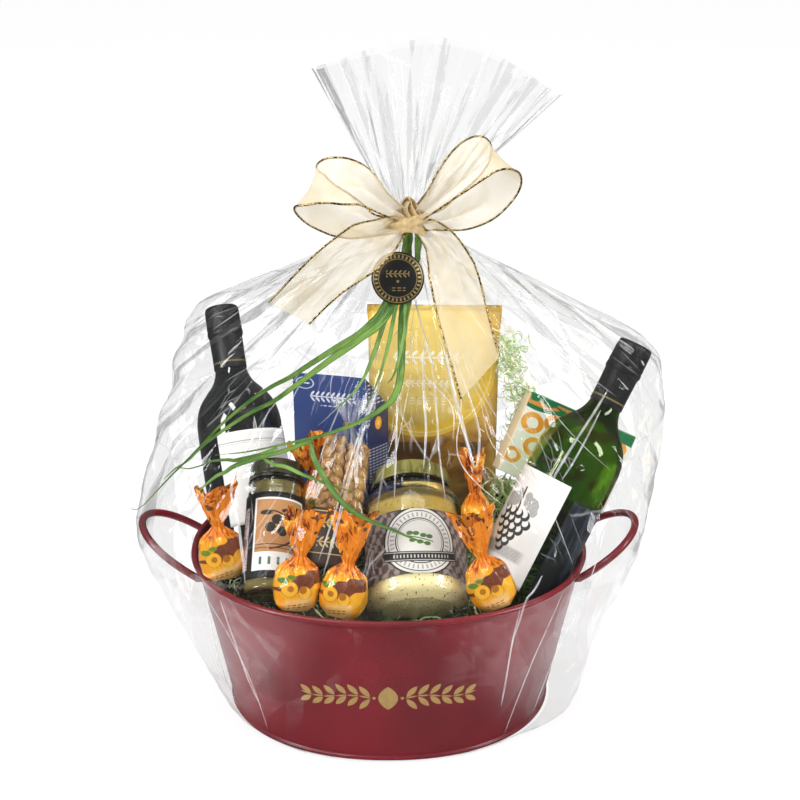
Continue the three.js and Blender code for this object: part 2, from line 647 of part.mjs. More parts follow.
// The space over the tub's floor that clears its wall and its rolled rim.
function insideColumn() {
  const clear = -TUB.wall - 3 * GAP;
  const overRim = clear - TUB.rimRoll;
  const levels = [[TUB.floor, clear], [TUB.height - 8, clear], [TUB.height - 4, overRim], [NECK.z, overRim]];
  return loft(levels.map(([z, offset]) => tubRing(z, offset, 28)));
}

function makeShred() {
  let heap = toManifold(shredBed());
  mounds.forEach((extra) => { heap = heap.add(toManifold(extra)); });
  heap = heap.intersect(toManifold(insideColumn()));
  for (let seed = 0; seed < 8; seed += 1) heap = heap.add(toManifold(curl(seed)));
  packedNames.forEach((name) => { heap = heap.subtract(grown(name, 0.7)); });
  const parts = heap.simplify(0.3).decompose().sort((a, b) => b.volume() - a.volume());
  piece('paper_shred', welded(fromManifold(parts[0])), 'shred');
}
makeShred();

export default basket;
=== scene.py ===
import math
import random

import bpy
import numpy as np
from mathutils import Matrix, Vector, noise
from mathutils.bvhtree import BVHTree


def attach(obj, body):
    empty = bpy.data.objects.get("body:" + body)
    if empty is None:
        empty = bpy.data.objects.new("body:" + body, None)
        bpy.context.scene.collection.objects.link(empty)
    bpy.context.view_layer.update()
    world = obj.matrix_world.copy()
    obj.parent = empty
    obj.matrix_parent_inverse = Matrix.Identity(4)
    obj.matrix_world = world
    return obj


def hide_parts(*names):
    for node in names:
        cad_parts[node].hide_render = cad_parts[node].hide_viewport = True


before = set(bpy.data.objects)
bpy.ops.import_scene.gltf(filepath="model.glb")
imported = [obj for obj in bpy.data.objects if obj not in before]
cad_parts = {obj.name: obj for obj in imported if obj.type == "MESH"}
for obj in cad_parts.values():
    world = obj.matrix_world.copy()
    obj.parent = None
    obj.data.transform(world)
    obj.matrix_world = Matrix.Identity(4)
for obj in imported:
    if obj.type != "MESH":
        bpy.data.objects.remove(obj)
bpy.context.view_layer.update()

# Tub. An oval pressed tin tub with a rolled rim and a bead round its base,
# sprayed burgundy; its front carries a stencilled garland in dull gold.
MM = 0.001
TUB_HEIGHT = 143
TUB_RIM = (166, 128)
TUB_BASE = (138, 112)
TUB_BEND = 2.15
TUB_WALL = 1.6
RIM_ROLL = 3.4
BASE_BEAD = 2.2
TUB_FOOT = 1.2
TUB_FLOOR = 8
BURGUNDY = (0.205, 0.008, 0.016)
BURGUNDY_DEEP = (0.135, 0.005, 0.010)
STENCIL_GOLD = (0.62, 0.42, 0.16)


def oval_point(half_x, half_y, bend, angle, z):
    """A point of a squared oval, in millimetres."""
    c, s = math.cos(angle), math.sin(angle)
    power = 2 / bend
    return (half_x * math.copysign(abs(c) ** power, c), half_y * math.copysign(abs(s) ** power, s), z)


def oval_ring(half_x, half_y, bend, z, sides):
    return [oval_point(half_x, half_y, bend, 2 * math.pi * i / sides, z) for i in range(sides)]


def tub_half(z, offset=0.0):
    """Half axes of the flared wall at a height."""
    t = min(max(z / TUB_HEIGHT, 0), 1)
    return [base + (rim - base) * t + offset for base, rim in zip(TUB_BASE, TUB_RIM)]


def tub_ring(z, offset, sides):
    return oval_ring(*tub_half(z, offset), TUB_BEND, z, sides)


def skin(rings, round_=True, ends=True):
    """Points and faces over a stack of equal rings; closed ends get a middle point."""
    count = len(rings[0])
    points = [tuple(p) for ring in rings for p in ring]
    faces = []
    steps = count if round_ else count - 1
    for row in range(len(rings) - 1):
        for i in range(steps):
            a, b = row * count + i, row * count + (i + 1) % count
            faces.append((a, b, b + count, a + count))
    if ends:
        for row, flip in ((0, True), (len(rings) - 1, False)):
            points.append(tuple(np.mean(rings[row], axis=0)))
            for i in range(count):
                edge = (row * count + i, row * count + (i + 1) % count)
                faces.append((edge[1], edge[0], len(points) - 1) if flip else (*edge, len(points) - 1))
    return points, faces


def make_piece(name, shape, materials, place=None, smooth=True, prints=None, slots=None):
    """A mesh from points in millimetres, put in its place, riding on the basket."""
    points, faces = shape
    mesh = bpy.data.meshes.new(name)
    mesh.from_pydata([tuple(c * MM for c in p) for p in points], [], faces)
    for material in materials if isinstance(materials, (list, tuple)) else [materials]:
        mesh.materials.append(material)
    mesh.polygons.foreach_set("use_smooth", [smooth] * len(mesh.polygons))
    if slots is not None:
        mesh.polygons.foreach_set("material_index", slots)
    if prints is not None:
        layer = mesh.uv_layers.new(name="print")
        corners = np.empty(len(mesh.loops), dtype=np.int32)
        mesh.loops.foreach_get("vertex_index", corners)
        layer.data.foreach_set("uv", np.asarray(prints, dtype=np.float32)[corners].ravel())
    mesh.validate()
    piece = bpy.data.objects.new(name, mesh)
    bpy.context.scene.collection.objects.link(piece)
    if place is not None:
        piece.matrix_world = place
    bpy.context.view_layer.update()
    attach(piece, "root")
    return piece


def new_material(name, **values):
    """A material, its node tree and its Principled shader with plain values set on it."""
    material = bpy.data.materials.new(name)
    material.use_nodes = True
    tree = material.node_tree
    principled = tree.nodes["Principled BSDF"]
    for key, value in values.items():
        socket = principled.inputs[key.replace("_", " ")]
        socket.default_value = (*value, 1) if isinstance(value, tuple) and len(value) == 3 else value
    return material, tree, principled


def put(tree, kind, inputs=None, **settings):
    """A node with settings, and inputs given as values or as sockets to link."""
    made = tree.nodes.new(kind)
    for key, value in settings.items():
        setattr(made, key, value)
    for key, value in (inputs or {}).items():
        socket = made.inputs[key]
        if isinstance(value, bpy.types.NodeSocket):
            tree.links.new(value, socket)
        elif isinstance(value, tuple) and len(value) == 3 and socket.type == "RGBA":
            socket.default_value = (*value, 1)
        else:
            socket.default_value = value
    return made


def calc(tree, operation, *values, clamp=False):
    inputs = dict(enumerate(values))
    return put(tree, "ShaderNodeMath", inputs, operation=operation, use_clamp=clamp).outputs[0]


def tint(tree, factor, first, second):
    """One colour turning into another by a factor."""
    made = put(tree, "ShaderNodeMix", data_type="RGBA")
    for index, value in ((0, factor), (6, first), (7, second)):
        socket = made.inputs[index]
        if isinstance(value, bpy.types.NodeSocket):
            tree.links.new(value, socket)
        else:
            socket.default_value = (*value, 1) if isinstance(value, tuple) else value
    return made.outputs[2]


def spread(tree, value, low, high, to_low=0.0, to_high=1.0):
    """Stretches a value from one range to another, smoothly and held at both ends."""
    inputs = {"Value": value, "From Min": low, "From Max": high, "To Min": to_low, "To Max": to_high}
    return put(tree, "ShaderNodeMapRange", inputs, interpolation_type="SMOOTHSTEP").outputs[0]


def places(tree):
    return put(tree, "ShaderNodeTexCoord").outputs["Object"]


def stretched(tree, vector, scale):
    return put(tree, "ShaderNodeMapping", {"Vector": vector, "Scale": scale}).outputs[0]


def clouds(tree, vector, scale, detail=3.0, rough=0.55, twist=0.0):
    inputs = {"Vector": vector, "Scale": scale, "Detail": detail, "Roughness": rough, "Distortion": twist}
    return put(tree, "ShaderNodeTexNoise", inputs).outputs["Fac"]


def raise_surface(tree, principled, height, strength, depth):
    inputs = {"Height": height, "Strength": strength, "Distance": depth * MM}
    tree.links.new(put(tree, "ShaderNodeBump", inputs).outputs[0], principled.inputs["Normal"])


def sprayed_tin():
    material, tree, principled = new_material("sprayed_tin", Coat_Weight=0.35, Coat_Roughness=0.12)
    where = places(tree)
    broad = clouds(tree, where, 11, 2)
    colour = tint(tree, spread(tree, broad, 0.3, 0.75), BURGUNDY, BURGUNDY_DEEP)
    tree.links.new(colour, principled.inputs["Base Color"])
    tree.links.new(spread(tree, broad, 0.2, 0.8, 0.3, 0.4), principled.inputs["Roughness"])
    raise_surface(tree, principled, broad, 0.2, 1.5)
    return material


tin = sprayed_tin()
tub_rows = [(TUB_FLOOR - 2, -TUB_WALL), (TUB_FOOT, -TUB_WALL), (TUB_FOOT, 0.2)]
for step in range(7):
    turn = math.pi * step / 6
    tub_rows.append((TUB_FOOT + BASE_BEAD * (1 - math.cos(turn)), BASE_BEAD * math.sin(turn)))
tub_rows += [(TUB_FOOT + 2 * BASE_BEAD + 0.6, 0)]
tub_rows += [(z, 0) for z in np.linspace(9, TUB_HEIGHT - RIM_ROLL - 0.5, 22)]
for step in range(13):
    turn = -math.pi / 2 + 1.5 * math.pi * step / 12
    tub_rows.append((TUB_HEIGHT + 0.6 + 2.7 * math.sin(turn), 0.6 + 2.7 * math.cos(turn)))
tub_rows += [(TUB_HEIGHT - 4, -TUB_WALL), (60, -TUB_WALL), (TUB_FLOOR, -TUB_WALL)]
TUB_SIDES = 144


def tub_wall_ring(z, offset):
    ring = []
    for x, y, _ in tub_ring(z, offset, TUB_SIDES):
        dent = 0.5 * noise.noise(Vector((x, y, z * 1.6)) * 0.012) * math.sin(math.pi * min(z / TUB_HEIGHT, 1))
        length = math.hypot(x, y)
        ring.append((x * (1 + dent / length), y * (1 + dent / length), z))
    return ring


tub = make_piece("tub_body", skin([tub_wall_ring(z, offset) for z, offset in tub_rows]), tin)
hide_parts("tub")


def on_tub(across, z, lift):
    """A point on the front of the tub's wall."""
    half_x, half_y = tub_half(z, lift)
    return (across, -half_y * (1 - abs(across / half_x) ** TUB_BEND) ** (1 / TUB_BEND), z)


def stencilled_leaf(start, end, width, steps=10):
    """A leaf-shaped patch of paint on the wall, as points and faces."""
    start, end = np.array(start), np.array(end)
    along = end - start
    side = np.array([-along[1], along[0]]) / np.hypot(*along)
    rings = []
    for step in range(steps + 1):
        t = step / steps
        half = width * math.sin(math.pi * t) ** 0.8 + 0.08
        row = [start + along * t + side * half * s for s in (-1, -0.5, 0, 0.5, 1)]
        rings.append([on_tub(p[0], p[1], 0.22) for p in row])
    return skin(rings, round_=False, ends=False)


def joined(shapes):
    points, faces = [], []
    for shape_points, shape_faces in shapes:
        faces += [tuple(i + len(points) for i in face) for face in shape_faces]
        points += shape_points
    return points, faces


def gold_garland():
    """A stem each way from a middle diamond, with paired leaves and a dot at each tip."""
    shapes = [stencilled_leaf((0, 56), (0, 80), 8), stencilled_leaf((-13, 68), (-10, 68), 1.4),
              stencilled_leaf((10, 68), (13, 68), 1.4)]
    for way in (-1, 1):
        for step in range(6):
            near, far = 14 + 9.6 * step, 14 + 9.6 * (step + 1)
            rise = 68 + 2.2 * math.sin(step * 1.05)
            after = 68 + 2.2 * math.sin((step + 1) * 1.05)
            shapes.append(stencilled_leaf((way * near, rise), (way * far, after), 0.75))
            reach = 8.6 - 0.7 * step
            for up in (-1, 1):
                tip = (way * (near + 9.5), rise + up * (reach + 3.4))
                shapes.append(stencilled_leaf((way * (near + 1), rise + up * 1.2), tip, 2.5))
    return joined(shapes)


paint, tree, principled = new_material("stencil_gold", Metallic=0.35, Coat_Weight=0.3)
worn = clouds(tree, places(tree), 260, 4)
tree.links.new(tint(tree, worn, STENCIL_GOLD, (0.42, 0.25, 0.08)), principled.inputs["Base Color"])
tree.links.new(spread(tree, worn, 0.3, 0.7, 0.3, 0.5), principled.inputs["Roughness"])
garland = make_piece("tub_garland", gold_garland(), paint)

# Handles. Two bent wires, each a half-oval loop spot-welded under the rim and
# sprayed with the tub.
HANDLE_WIRE = 6.4
HANDLE_SPREAD = 40
HANDLE_REACH = 50
HANDLE_RISE = 34
HANDLE_ROOT = (160.5, 133)


def tube(path, radius, sides=14):
    """A round rod along points, with a frame that doesn't twist."""
    path = [Vector(p) for p in path]
    rings = []
    normal = Vector((0.1, 0.2, 1))
    for i, p in enumerate(path):
        along = (path[min(i + 1, len(path) - 1)] - path[max(i - 1, 0)]).normalized()
        normal = (normal - along * normal.dot(along)).normalized()
        across = along.cross(normal)
        size = radius(i / (len(path) - 1)) if callable(radius) else radius
        turns = [2 * math.pi * k / sides for k in range(sides)]
        rings.append([tuple(p + (normal * math.cos(a) + across * math.sin(a)) * size) for a in turns])
    return skin(rings)


def handle_path(side):
    """Out through the loop, with both ends run into the wall under the rim."""
    path = []
    for step in range(61):
        angle = math.pi * step / 60
        out = math.sin(angle) ** 0.85
        path.append((side * (HANDLE_ROOT[0] + HANDLE_REACH * out), -HANDLE_SPREAD * math.cos(angle),
                     HANDLE_ROOT[1] + HANDLE_RISE * out))
    weld = side * (HANDLE_ROOT[0] - 5)
    return [(weld, -HANDLE_SPREAD, HANDLE_ROOT[1])] + path + [(weld, HANDLE_SPREAD, HANDLE_ROOT[1])]


for name, side in (("handle_left", -1), ("handle_right", 1)):
    handle = make_piece(name + "_wire", tube(handle_path(side), HANDLE_WIRE / 2), tin)
    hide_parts(name)

# Wine bottles. Blown glass with a round shoulder, a shrunk foil sleeve over the
# cork and a paper label; the left one is black glass, the right one clear green.
BOTTLE_RADIUS = 37.5
BOTTLE_NECK = 13
BOTTLE_LENGTH = 300
SLEEVE_LENGTH = 57
SLEEVE_RADIUS = 15.4
GLASS_WALL = 2.6
LEFT_BOTTLE = ((-100.3, -29.6, 64), (-0.17, 0.55, 0.82))
RIGHT_BOTTLE = ((73, -61, 65), (0.455, 0.36, 0.815))
FRONT = -math.pi / 2


def standing(foot, axis, twist=0.0):
    """The place of a piece that stands at foot along axis, with its -Y side to the front."""
    up = Vector(axis).normalized()
    side = Vector((0, 1, 0)).cross(up).normalized()
    turned_to = Matrix((side, up.cross(side), up)).transposed().to_4x4()
    return Matrix.Translation(Vector(foot) * MM) @ turned_to @ Matrix.Rotation(twist, 4, "Z")


def rounded(profile, times=2):
    """Cuts the corners of a profile, to round it off."""
    for _ in range(times):
        cut = [profile[0]]
        for (r0, z0), (r1, z1) in zip(profile, profile[1:]):
            cut += [(0.75 * r0 + 0.25 * r1, 0.75 * z0 + 0.25 * z1), (0.25 * r0 + 0.75 * r1, 0.25 * z0 + 0.75 * z1)]
        profile = cut + [profile[-1]]
    return profile


def turned(profile, sides=72, ends=True):
    """A turned body from (radius, height) pairs that start and end near the axis."""
    turns = [2 * math.pi * k / sides for k in range(sides)]
    return skin([[(r * math.cos(a), r * math.sin(a), z) for a in turns] for r, z in profile], ends=ends)


def wrapped(radius_at, low, high, first, last, lift=0.25, rows=24, columns=60):
    """A paper patch round a turned body, with its own flat measures from its middle as the print map."""
    points, prints = [], []
    middle = (first + last) / 2
    for row in range(rows + 1):
        z = low + (high - low) * row / rows
        for column in range(columns + 1):
            angle = first + (last - first) * column / columns
            r = radius_at(z) + lift
            points.append((r * math.cos(angle), r * math.sin(angle), z))
            prints.append((r * (angle - middle), z - (low + high) / 2))
    width = columns + 1
    faces = [(r * width + c, r * width + c + 1, (r + 1) * width + c + 1, (r + 1) * width + c)
             for r in range(rows) for c in range(columns)]
    return (points, faces), prints


def thicken(piece, depth):
    layer = piece.modifiers.new("thickness", "SOLIDIFY")
    layer.thickness = depth * MM
    layer.offset = -1


def print_map(tree):
    """Across and up, in millimetres from the middle of a print."""
    split = put(tree, "ShaderNodeSeparateXYZ", {0: put(tree, "ShaderNodeUVMap", uv_map="print").outputs[0]})
    return split.outputs[0], split.outputs[1]


def below(tree, value, limit, soft=0.25):
    """1 where value is below limit, with a narrow soft edge."""
    return spread(tree, value, limit - soft, limit + soft, 1.0, 0.0)


def both(tree, *masks):
    result = masks[0]
    for mask in masks[1:]:
        result = calc(tree, "MULTIPLY", result, mask)
    return result


def either(tree, *masks):
    result = masks[0]
    for mask in masks[1:]:
        result = calc(tree, "MAXIMUM", result, mask)
    return result


def between(tree, value, low, high, soft=0.25):
    return both(tree, below(tree, value, high, soft), calc(tree, "SUBTRACT", 1.0, below(tree, value, low, soft)))


def from_middle(tree, across, up, x, y, squash=1.0):
    """Distance from a point of a print; squash below 1 makes wide ovals."""
    dx = calc(tree, "MULTIPLY", calc(tree, "SUBTRACT", across, x), squash)
    dy = calc(tree, "SUBTRACT", up, y)
    square = calc(tree, "ADD", calc(tree, "MULTIPLY", dx, dx), calc(tree, "MULTIPLY", dy, dy))
    return calc(tree, "SQRT", square)


bottle_outline = [
    (0.5, 8), (BOTTLE_RADIUS - 14, 2), (BOTTLE_RADIUS - 5, 0), (BOTTLE_RADIUS - 1, 1.2), (BOTTLE_RADIUS, 5),
    (BOTTLE_RADIUS, 60), (BOTTLE_RADIUS, 120), (BOTTLE_RADIUS, 189), (BOTTLE_RADIUS - 1.2, 201),
    (BOTTLE_RADIUS - 4.6, 212), (BOTTLE_RADIUS - 12, 222), (BOTTLE_NECK + 5, 230), (BOTTLE_NECK + 1.2, 239),
    (BOTTLE_NECK, 250), (BOTTLE_NECK, 272), (BOTTLE_NECK, BOTTLE_LENGTH - 2), (0.5, BOTTLE_LENGTH - 2),
]
sleeve_foot = BOTTLE_LENGTH - SLEEVE_LENGTH
sleeve_outline = [
    (BOTTLE_NECK + 0.3, sleeve_foot), (SLEEVE_RADIUS - 0.8, sleeve_foot), (SLEEVE_RADIUS - 0.8, sleeve_foot + 1),
    (SLEEVE_RADIUS - 0.9, sleeve_foot + 12), (SLEEVE_RADIUS - 0.6, BOTTLE_LENGTH - 28),
    (SLEEVE_RADIUS - 0.5, BOTTLE_LENGTH - 27), (SLEEVE_RADIUS + 0.4, BOTTLE_LENGTH - 26),
    (SLEEVE_RADIUS + 0.4, BOTTLE_LENGTH - 22), (SLEEVE_RADIUS - 0.2, BOTTLE_LENGTH - 21),
    (SLEEVE_RADIUS + 0.3, BOTTLE_LENGTH - 19), (SLEEVE_RADIUS, BOTTLE_LENGTH - 17),
    (SLEEVE_RADIUS - 0.1, BOTTLE_LENGTH - 4), (SLEEVE_RADIUS - 0.7, BOTTLE_LENGTH - 0.6),
    (SLEEVE_RADIUS - 2.5, BOTTLE_LENGTH + 0.8), (0.5, BOTTLE_LENGTH + 0.8),
]


def black_foil():
    material, tree, principled = new_material("black_foil", Metallic=0.35)
    where = places(tree)
    creases = clouds(tree, stretched(tree, where, (60, 60, 16)), 3.5, 4, 0.7, 0.8)
    height = put(tree, "ShaderNodeSeparateXYZ", {0: where}).outputs[2]
    dotted_row = between(tree, calc(tree, "DIVIDE", height, MM), sleeve_foot + 4.6, sleeve_foot + 6.2)
    split = put(tree, "ShaderNodeSeparateXYZ", {0: where})
    turn = calc(tree, "ARCTAN2", split.outputs[1], split.outputs[0])
    dots = spread(tree, calc(tree, "SINE", calc(tree, "MULTIPLY", turn, 46.0)), 0.0, 0.4)
    gold = both(tree, dotted_row, dots)
    base = tint(tree, creases, (0.012, 0.012, 0.013), (0.03, 0.03, 0.032))
    tree.links.new(tint(tree, gold, base, (0.5, 0.38, 0.16)), principled.inputs["Base Color"])
    tree.links.new(spread(tree, creases, 0.3, 0.7, 0.26, 0.46), principled.inputs["Roughness"])
    raise_surface(tree, principled, creases, 0.6, 1.2)
    return material


def black_glass():
    material, tree, principled = new_material("black_glass", Coat_Weight=1.0, Coat_Roughness=0.02, IOR=1.52)
    waves = clouds(tree, places(tree), 26, 2)
    tree.links.new(tint(tree, waves, (0.004, 0.005, 0.006), (0.012, 0.013, 0.012)), principled.inputs["Base Color"])
    tree.links.new(spread(tree, waves, 0.3, 0.7, 0.03, 0.07), principled.inputs["Roughness"])
    raise_surface(tree, principled, waves, 0.12, 0.6)
    return material


def lit_through(tree, principled, colour):
    """Glass that lets the light straight through to what it holds, tinted, and bends what is seen in it."""
    ray = put(tree, "ShaderNodeLightPath")
    passing = either(tree, ray.outputs["Is Shadow Ray"], ray.outputs["Is Diffuse Ray"])
    clear = put(tree, "ShaderNodeBsdfTransparent", {"Color": colour})
    whole = put(tree, "ShaderNodeMixShader", {0: passing, 1: principled.outputs[0], 2: clear.outputs[0]})
    tree.links.new(whole.outputs[0], tree.nodes["Material Output"].inputs["Surface"])


def blown_waves_effect():
    """A group that gives the slow waves of blown or pressed glass: a tint between two tones, and a height."""
    group = bpy.data.node_groups.new("glass_waves", "ShaderNodeTree")
    group.interface.new_socket("Scale", in_out="INPUT", socket_type="NodeSocketFloat")
    for name in ("Thick Tone", "Thin Tone"):
        group.interface.new_socket(name, in_out="INPUT", socket_type="NodeSocketColor")
    group.interface.new_socket("Colour", in_out="OUTPUT", socket_type="NodeSocketColor")
    for name in ("Roughness", "Height"):
        group.interface.new_socket(name, in_out="OUTPUT", socket_type="NodeSocketFloat")
    given = group.nodes.new("NodeGroupInput").outputs
    waves = clouds(group, places(group), given["Scale"], 2)
    end = group.nodes.new("NodeGroupOutput")
    group.links.new(tint(group, waves, given["Thick Tone"], given["Thin Tone"]), end.inputs["Colour"])
    group.links.new(spread(group, waves, 0.3, 0.7, 0.0, 0.025), end.inputs["Roughness"])
    group.links.new(waves, end.inputs["Height"])
    return group


glass_waves = blown_waves_effect()


def wavy_glass(name, scale, thick, thin, ior, light):
    material, tree, principled = new_material(name, IOR=ior, Transmission_Weight=1.0)
    waves = put(tree, "ShaderNodeGroup", node_tree=glass_waves)
    waves.inputs["Scale"].default_value = scale
    waves.inputs["Thick Tone"].default_value = (*thick, 1)
    waves.inputs["Thin Tone"].default_value = (*thin, 1)
    tree.links.new(waves.outputs["Colour"], principled.inputs["Base Color"])
    tree.links.new(waves.outputs["Roughness"], principled.inputs["Roughness"])
    raise_surface(tree, principled, waves.outputs["Height"], 0.15, 0.8)
    lit_through(tree, principled, light)
    return material


def label_paper(name, drawing):
    """White label paper with a fine tooth; drawing makes the printed colour over it."""
    material, tree, principled = new_material(name, Roughness=0.55)
    across, up = print_map(tree)
    tooth = clouds(tree, places(tree), 900, 3)
    paper = tint(tree, tooth, (0.80, 0.79, 0.76), (0.87, 0.86, 0.84))
    tree.links.new(drawing(tree, across, up, paper), principled.inputs["Base Color"])
    raise_surface(tree, principled, tooth, 0.2, 0.1)
    return material


def engraved_grapes(tree, across, up, paper):
    """A bunch of grapes under two leaves, engraved in near-black ink over hatched ground."""
    slope = calc(tree, "ADD", across, up)
    wobble = calc(tree, "MULTIPLY", clouds(tree, places(tree), 120, 2), 5.0)
    hatch = spread(tree, calc(tree, "SINE", calc(tree, "ADD", calc(tree, "MULTIPLY", slope, 4.6), wobble)), -0.4, 0.1)
    drawn = []
    for row, (count, y) in enumerate(((4, 9), (5, 2.5), (4, -4), (3, -10.5), (2, -16.5), (1, -22))):
        for k in range(count):
            x = 7.2 * (k - (count - 1) / 2) + 0.8 * math.sin(3 * row + k)
            ball = below(tree, from_middle(tree, across, up, x, y), 4.3)
            light = below(tree, from_middle(tree, across, up, x - 1.3, y + 1.4), 3.0)
            drawn.append(both(tree, ball, calc(tree, "SUBTRACT", 1.0, light)))
    leaves = either(tree, *[below(tree, from_middle(tree, across, up, x, y, squash), size) for x, y, squash, size in
                            ((-10, 19, 0.7, 6.6), (-15, 14, 1.1, 5.0), (-5, 24, 1.3, 5.4), (11, 20, 0.8, 6.0),
                             (16, 15, 1.2, 4.2), (6, 25, 1.1, 4.0))])
    stem = both(tree, between(tree, calc(tree, "ADD", across, calc(tree, "MULTIPLY", up, 0.1)), 1.2, 3.0),
                between(tree, up, 10.0, 32.0))
    ground = both(tree, between(tree, up, -29.0, -19.0, 1.5), between(tree, across, -24.0, 24.0, 4.0))
    inked = either(tree, *drawn, stem, both(tree, either(tree, leaves, calc(tree, "MULTIPLY", ground, 0.8)), hatch))
    return tint(tree, inked, paper, (0.030, 0.030, 0.032))


def plain_bands(tree, across, up, paper):
    """Two thin grey rules near the label's top."""
    rules = either(tree, between(tree, up, 31.0, 31.7), between(tree, up, 29.4, 29.7))
    return tint(tree, rules, paper, (0.25, 0.24, 0.22))


def dark_paper(tree, across, up, paper):
    """The far label seen through the wine: deep blue grey with long pale streaks of painted reflection."""
    # Painted reflection: long pale blue-grey streaks over the dark far label.
    reflection_streak = clouds(tree, stretched(tree, places(tree), (90, 90, 9)), 2.0, 3, 0.6, 0.5)
    return tint(tree, spread(tree, reflection_streak, 0.45, 0.7), (0.003, 0.005, 0.006), (0.028, 0.050, 0.080))


foil = black_foil()
left_place = standing(*LEFT_BOTTLE)
left_bottle = make_piece("red_wine_glass", turned(rounded(bottle_outline)), black_glass(), left_place)
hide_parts("bottle_red_wine")
right_place = standing(*RIGHT_BOTTLE)
green_glass = wavy_glass("green_glass", 30, (0.21, 0.35, 0.016), (0.30, 0.46, 0.04), 1.5, (0.72, 0.82, 0.38))
inner_outline = [(r - GLASS_WALL, z) for r, z in reversed(bottle_outline[5:-1])] + [
    (BOTTLE_RADIUS - GLASS_WALL, 9), (BOTTLE_RADIUS - 8, 6.5), (0.5, 20)]
hollow_outline = rounded(bottle_outline[1:-1]) + rounded(inner_outline)
right_bottle = make_piece("white_wine_glass", turned([(0.5, 14)] + hollow_outline), green_glass, right_place)
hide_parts("bottle_white_wine")
wine_outline = [(0.5, 21), (BOTTLE_RADIUS - 8.4, 7.7), (BOTTLE_RADIUS - GLASS_WALL - 0.3, 10.4)] + [
    (r - GLASS_WALL - 0.3, z) for r, z in bottle_outline[5:12]] + [(BOTTLE_NECK - 1.2, 236), (0.5, 236)]
wine, tree, principled = new_material("pale_wine", IOR=1.34, Transmission_Weight=1.0, Roughness=0.0)
depth_tone = clouds(tree, places(tree), 12, 1)
tree.links.new(tint(tree, depth_tone, (0.90, 0.93, 0.62), (0.95, 0.97, 0.74)), principled.inputs["Base Color"])
lit_through(tree, principled, (0.95, 0.96, 0.80))
wine_body = make_piece("white_wine_fill", turned(rounded(wine_outline, 1)), wine, right_place)
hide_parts("wine_white")
for name, place in (("capsule_red_wine", left_place), ("capsule_white_wine", right_place)):
    sleeve = make_piece(name + "_foil", turned(rounded(sleeve_outline, 1), 96), foil, place)
    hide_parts(name)
bottle_labels = {
    "red_wine_label": (left_place, 100, 181, math.radians(-112), math.radians(12), plain_bands),
    "white_wine_label": (right_place, 72, 168, math.radians(-205), math.radians(-99), engraved_grapes),
    "white_wine_far_label": (right_place, 66, 159, math.radians(-88), math.radians(30), dark_paper),
}
for name, (place, low, high, first, last, drawing) in bottle_labels.items():
    patch, prints = wrapped(lambda z: BOTTLE_RADIUS, low, high, first, last)
    label = make_piece(name, patch, label_paper(name, drawing), place, prints=prints)
    thicken(label, 0.15)

# Jars. Pressed clear glass with a heavy heel, filled to the shoulder, with a
# pressed tin lid and a printed paper label.
SAUCE_JAR = {"radius": 25.5, "height": 120, "mouth": 0.84, "fill": 103,
             "place": standing((-97, -79.8, 134), (0.02, 0.76, 0.65))}
CREAM_JAR = {"radius": 44.4, "height": 128, "mouth": 0.72, "fill": 100.4,
             "place": standing((24.4, -88.6, 127.5), (-0.05, 0.827, 0.56))}
LID_HEIGHT = 14
JAR_WALL = 2.2


def filling(name, main, shade, specks, speck_scale, bits=0.62, top=0.0, low=None):
    """Food behind glass: a base colour with darker patches and scattered specks; low gives a painted light towards the
    bottom, top a painted band of shade under the lid.
    """
    material, tree, principled = new_material(name, Roughness=0.35, Coat_Weight=0.5)
    where = places(tree)
    patches = clouds(tree, where, 70, 4)
    cells = put(tree, "ShaderNodeTexVoronoi", {"Vector": where, "Scale": speck_scale}).outputs["Distance"]
    speck = both(tree, below(tree, cells, 0.2, 0.06), spread(tree, clouds(tree, where, 190, 2), bits - 0.06, bits))
    height = put(tree, "ShaderNodeSeparateXYZ", {0: where}).outputs[2]
    body = tint(tree, spread(tree, patches, 0.3, 0.7), main, shade)
    # Painted light: the food turns to the low colour towards the bottom, as if lit from below.
    body = tint(tree, spread(tree, height, 0.050, 0.020), body, low or main)
    # Painted shade: a dark band high up under the lid's ring, as strong as top.
    body = tint(tree, spread(tree, height, 0.087, 0.091, 0.0, top), body, tuple(c * 0.16 for c in shade))
    tree.links.new(tint(tree, speck, body, specks), principled.inputs["Base Color"])
    raise_surface(tree, principled, patches, 0.4, 1.5)
    return material


